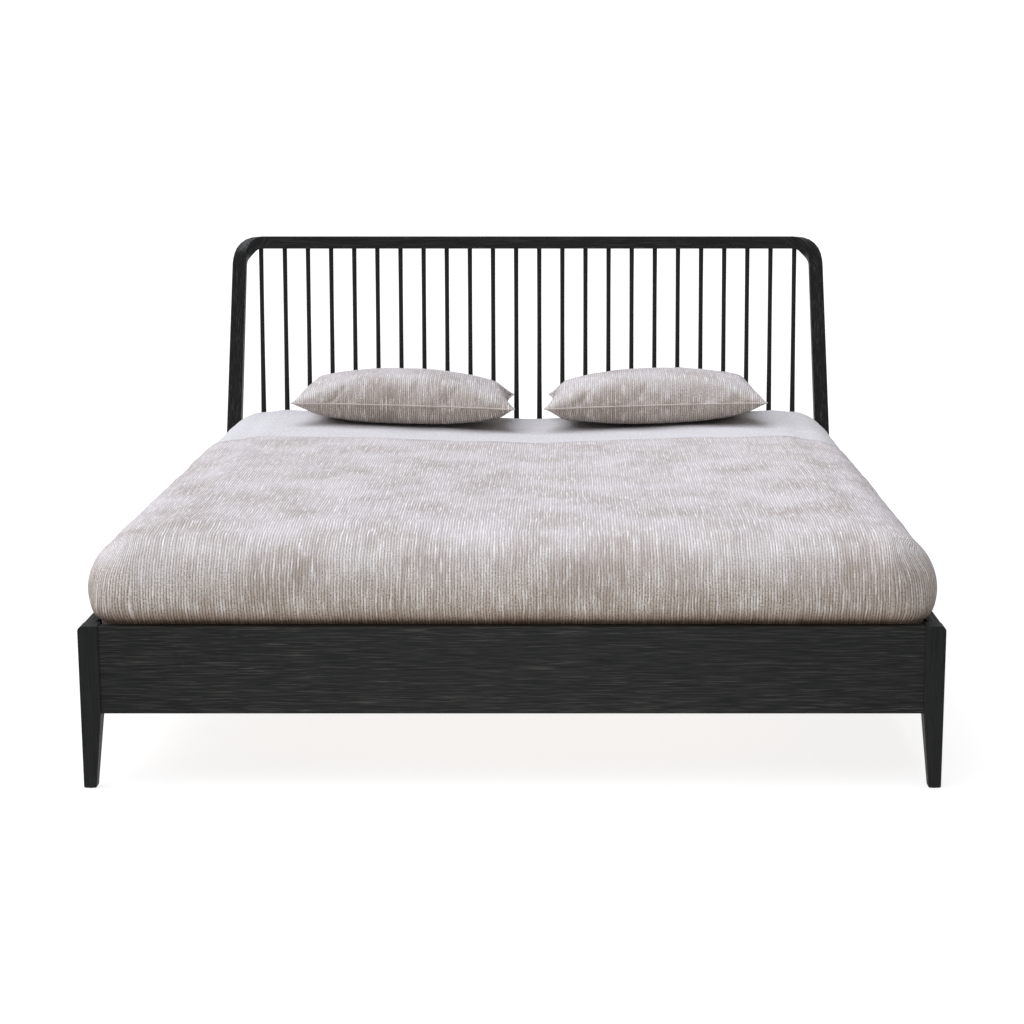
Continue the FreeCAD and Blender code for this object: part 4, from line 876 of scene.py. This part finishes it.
def settled(points, place):
    """A filled pillow at its real size, laid on the quilt's slope and pressed flat beneath."""
    low, high = points.min(0), points.max(0)
    shape = points - [(low[0] + high[0]) / 2, (low[1] + high[1]) / 2, 0]
    shape[:, :2] *= np.array(PILLOW_SIZE) / (high - low)[:2]
    shape[:, 0] *= 1 - PILLOW_REAR * smooth(shape[:, 1] / PILLOW_SIZE[1] + 0.5)
    above = shape[:, 2] > 0
    share = np.abs(shape[:, 2]) / np.where(above, high[2], -low[2])
    ends = np.abs(2 * shape[:, 0] / PILLOW_SIZE[0]) ** 2
    power = PILLOW_FLATNESS[0] + (PILLOW_FLATNESS[1] - PILLOW_FLATNESS[0]) * ends
    power = np.where(above, power, PILLOW_BELLY_FLATNESS)
    height = np.where(above, PILLOW_CROWN * (1 - PILLOW_DROOP * ends ** 2), -PILLOW_BELLY)
    height = height * share ** power
    x, y = shape[:, 0] + place[0], shape[:, 1] + place[1]
    side = math.copysign(1, place[0])
    slope_x, slope_y = side * PILLOW_TILT * DIP_ACROSS, -DIP_ALONG
    level = top_height(np.array([place[0]]), np.array([place[1]]))[0] - QUILT_GAP
    seam = level + PILLOW_BELLY - PILLOW_SINK + slope_x * shape[:, 0] + slope_y * shape[:, 1]
    z = seam + height
    rest = top_height(x, y) - QUILT_GAP + PILLOW_CLEAR
    sunk = rest + PILLOW_BLEND * np.logaddexp(0, (z - rest) / PILLOW_BLEND)
    return np.stack([x, y, sunk], -1)


def piping_cord():
    """Sweeps a round cord along a seam."""
    tree, given = new_tree("piping_cord", ("Radius", "Float"), ("Finish", "Material"))
    path = add(tree, "GeometryNodeMeshToCurve", {"Mesh": given["Geometry"]})
    ring = add(tree, "GeometryNodeCurvePrimitiveCircle", {"Resolution": 8,
                                                          "Radius": given["Radius"]})
    cord = add(tree, "GeometryNodeCurveToMesh", {"Curve": path.outputs[0],
                                                 "Profile Curve": ring.outputs[0]})
    plain = add(tree, "GeometryNodeRealizeInstances", {"Geometry": cord.outputs[0]})
    soft = add(tree, "GeometryNodeSetShadeSmooth", {"Geometry": plain.outputs[0]})
    done = add(tree, "GeometryNodeSetMaterial", {"Geometry": soft.outputs[0],
                                                 "Material": given["Finish"]})
    add(tree, "NodeGroupOutput", {"Geometry": done.outputs[0]})
    return tree


def twisted_cotton(name):
    """Twisted cotton cord, paler than the cover, with painted shade in the line between its turns."""
    material, tree, surface = new_finish(name, Roughness=0.85, Sheen_Weight=0.3)
    place = add(tree, "ShaderNodeTexCoord").outputs["Object"]
    turns = add(tree, "ShaderNodeTexWave", {"Vector": place, "Scale": PIPING_TURNS,
                                           "Distortion": 2.0},
                bands_direction="DIAGONAL").outputs["Fac"]
    # Painted shade: the colour darkens between the cord's turns, where the bump is low.
    colour = add(tree, "ShaderNodeMix", {0: turns, 6: srgb("#B4AAA1"), 7: srgb("#DDD6CF")},
                 data_type="RGBA").outputs[2]
    bump = add(tree, "ShaderNodeBump", {"Strength": 0.4, "Distance": 0.0005, "Height": turns})
    tree.links.new(colour, surface.inputs["Base Color"])
    tree.links.new(bump.outputs[0], surface.inputs["Normal"])
    return material


seam_cotton = twisted_cotton("twisted_cotton")
for number, (name, (across, along)) in enumerate(PILLOW_PLACES.items()):
    low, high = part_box(name)
    points, faces, flat, seam = cut_rectangles(PILLOW_SEED + number)
    pillow = place_mesh(name + "_cover", points, faces)
    map_weave(pillow, flat + [across, number])
    laid = settled(filled(pillow), (across, (low.y + high.y) / 2 + along))
    pillow.data.vertices.foreach_set("co", laid.astype(np.float32).ravel())
    pillow.data.update()
    finer = pillow.modifiers.new("finer", "SUBSURF")
    finer.levels = 1
    finer.render_levels = 1
    finish_piece(pillow, greige_weave, name, "woven_greige", name)
    path = laid[seam]
    for _ in range(SEAM_EASE):
        path = (np.roll(path, 1, 0) + 2 * path + np.roll(path, -1, 0)) / 4
    turn = len(path)
    cord = with_tree(name + "_piping", path, [(i, (i + 1) % turn) for i in range(turn)],
                     piping_cord(), Radius=PIPING_RADIUS, Finish=seam_cotton)
    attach(cord, name)
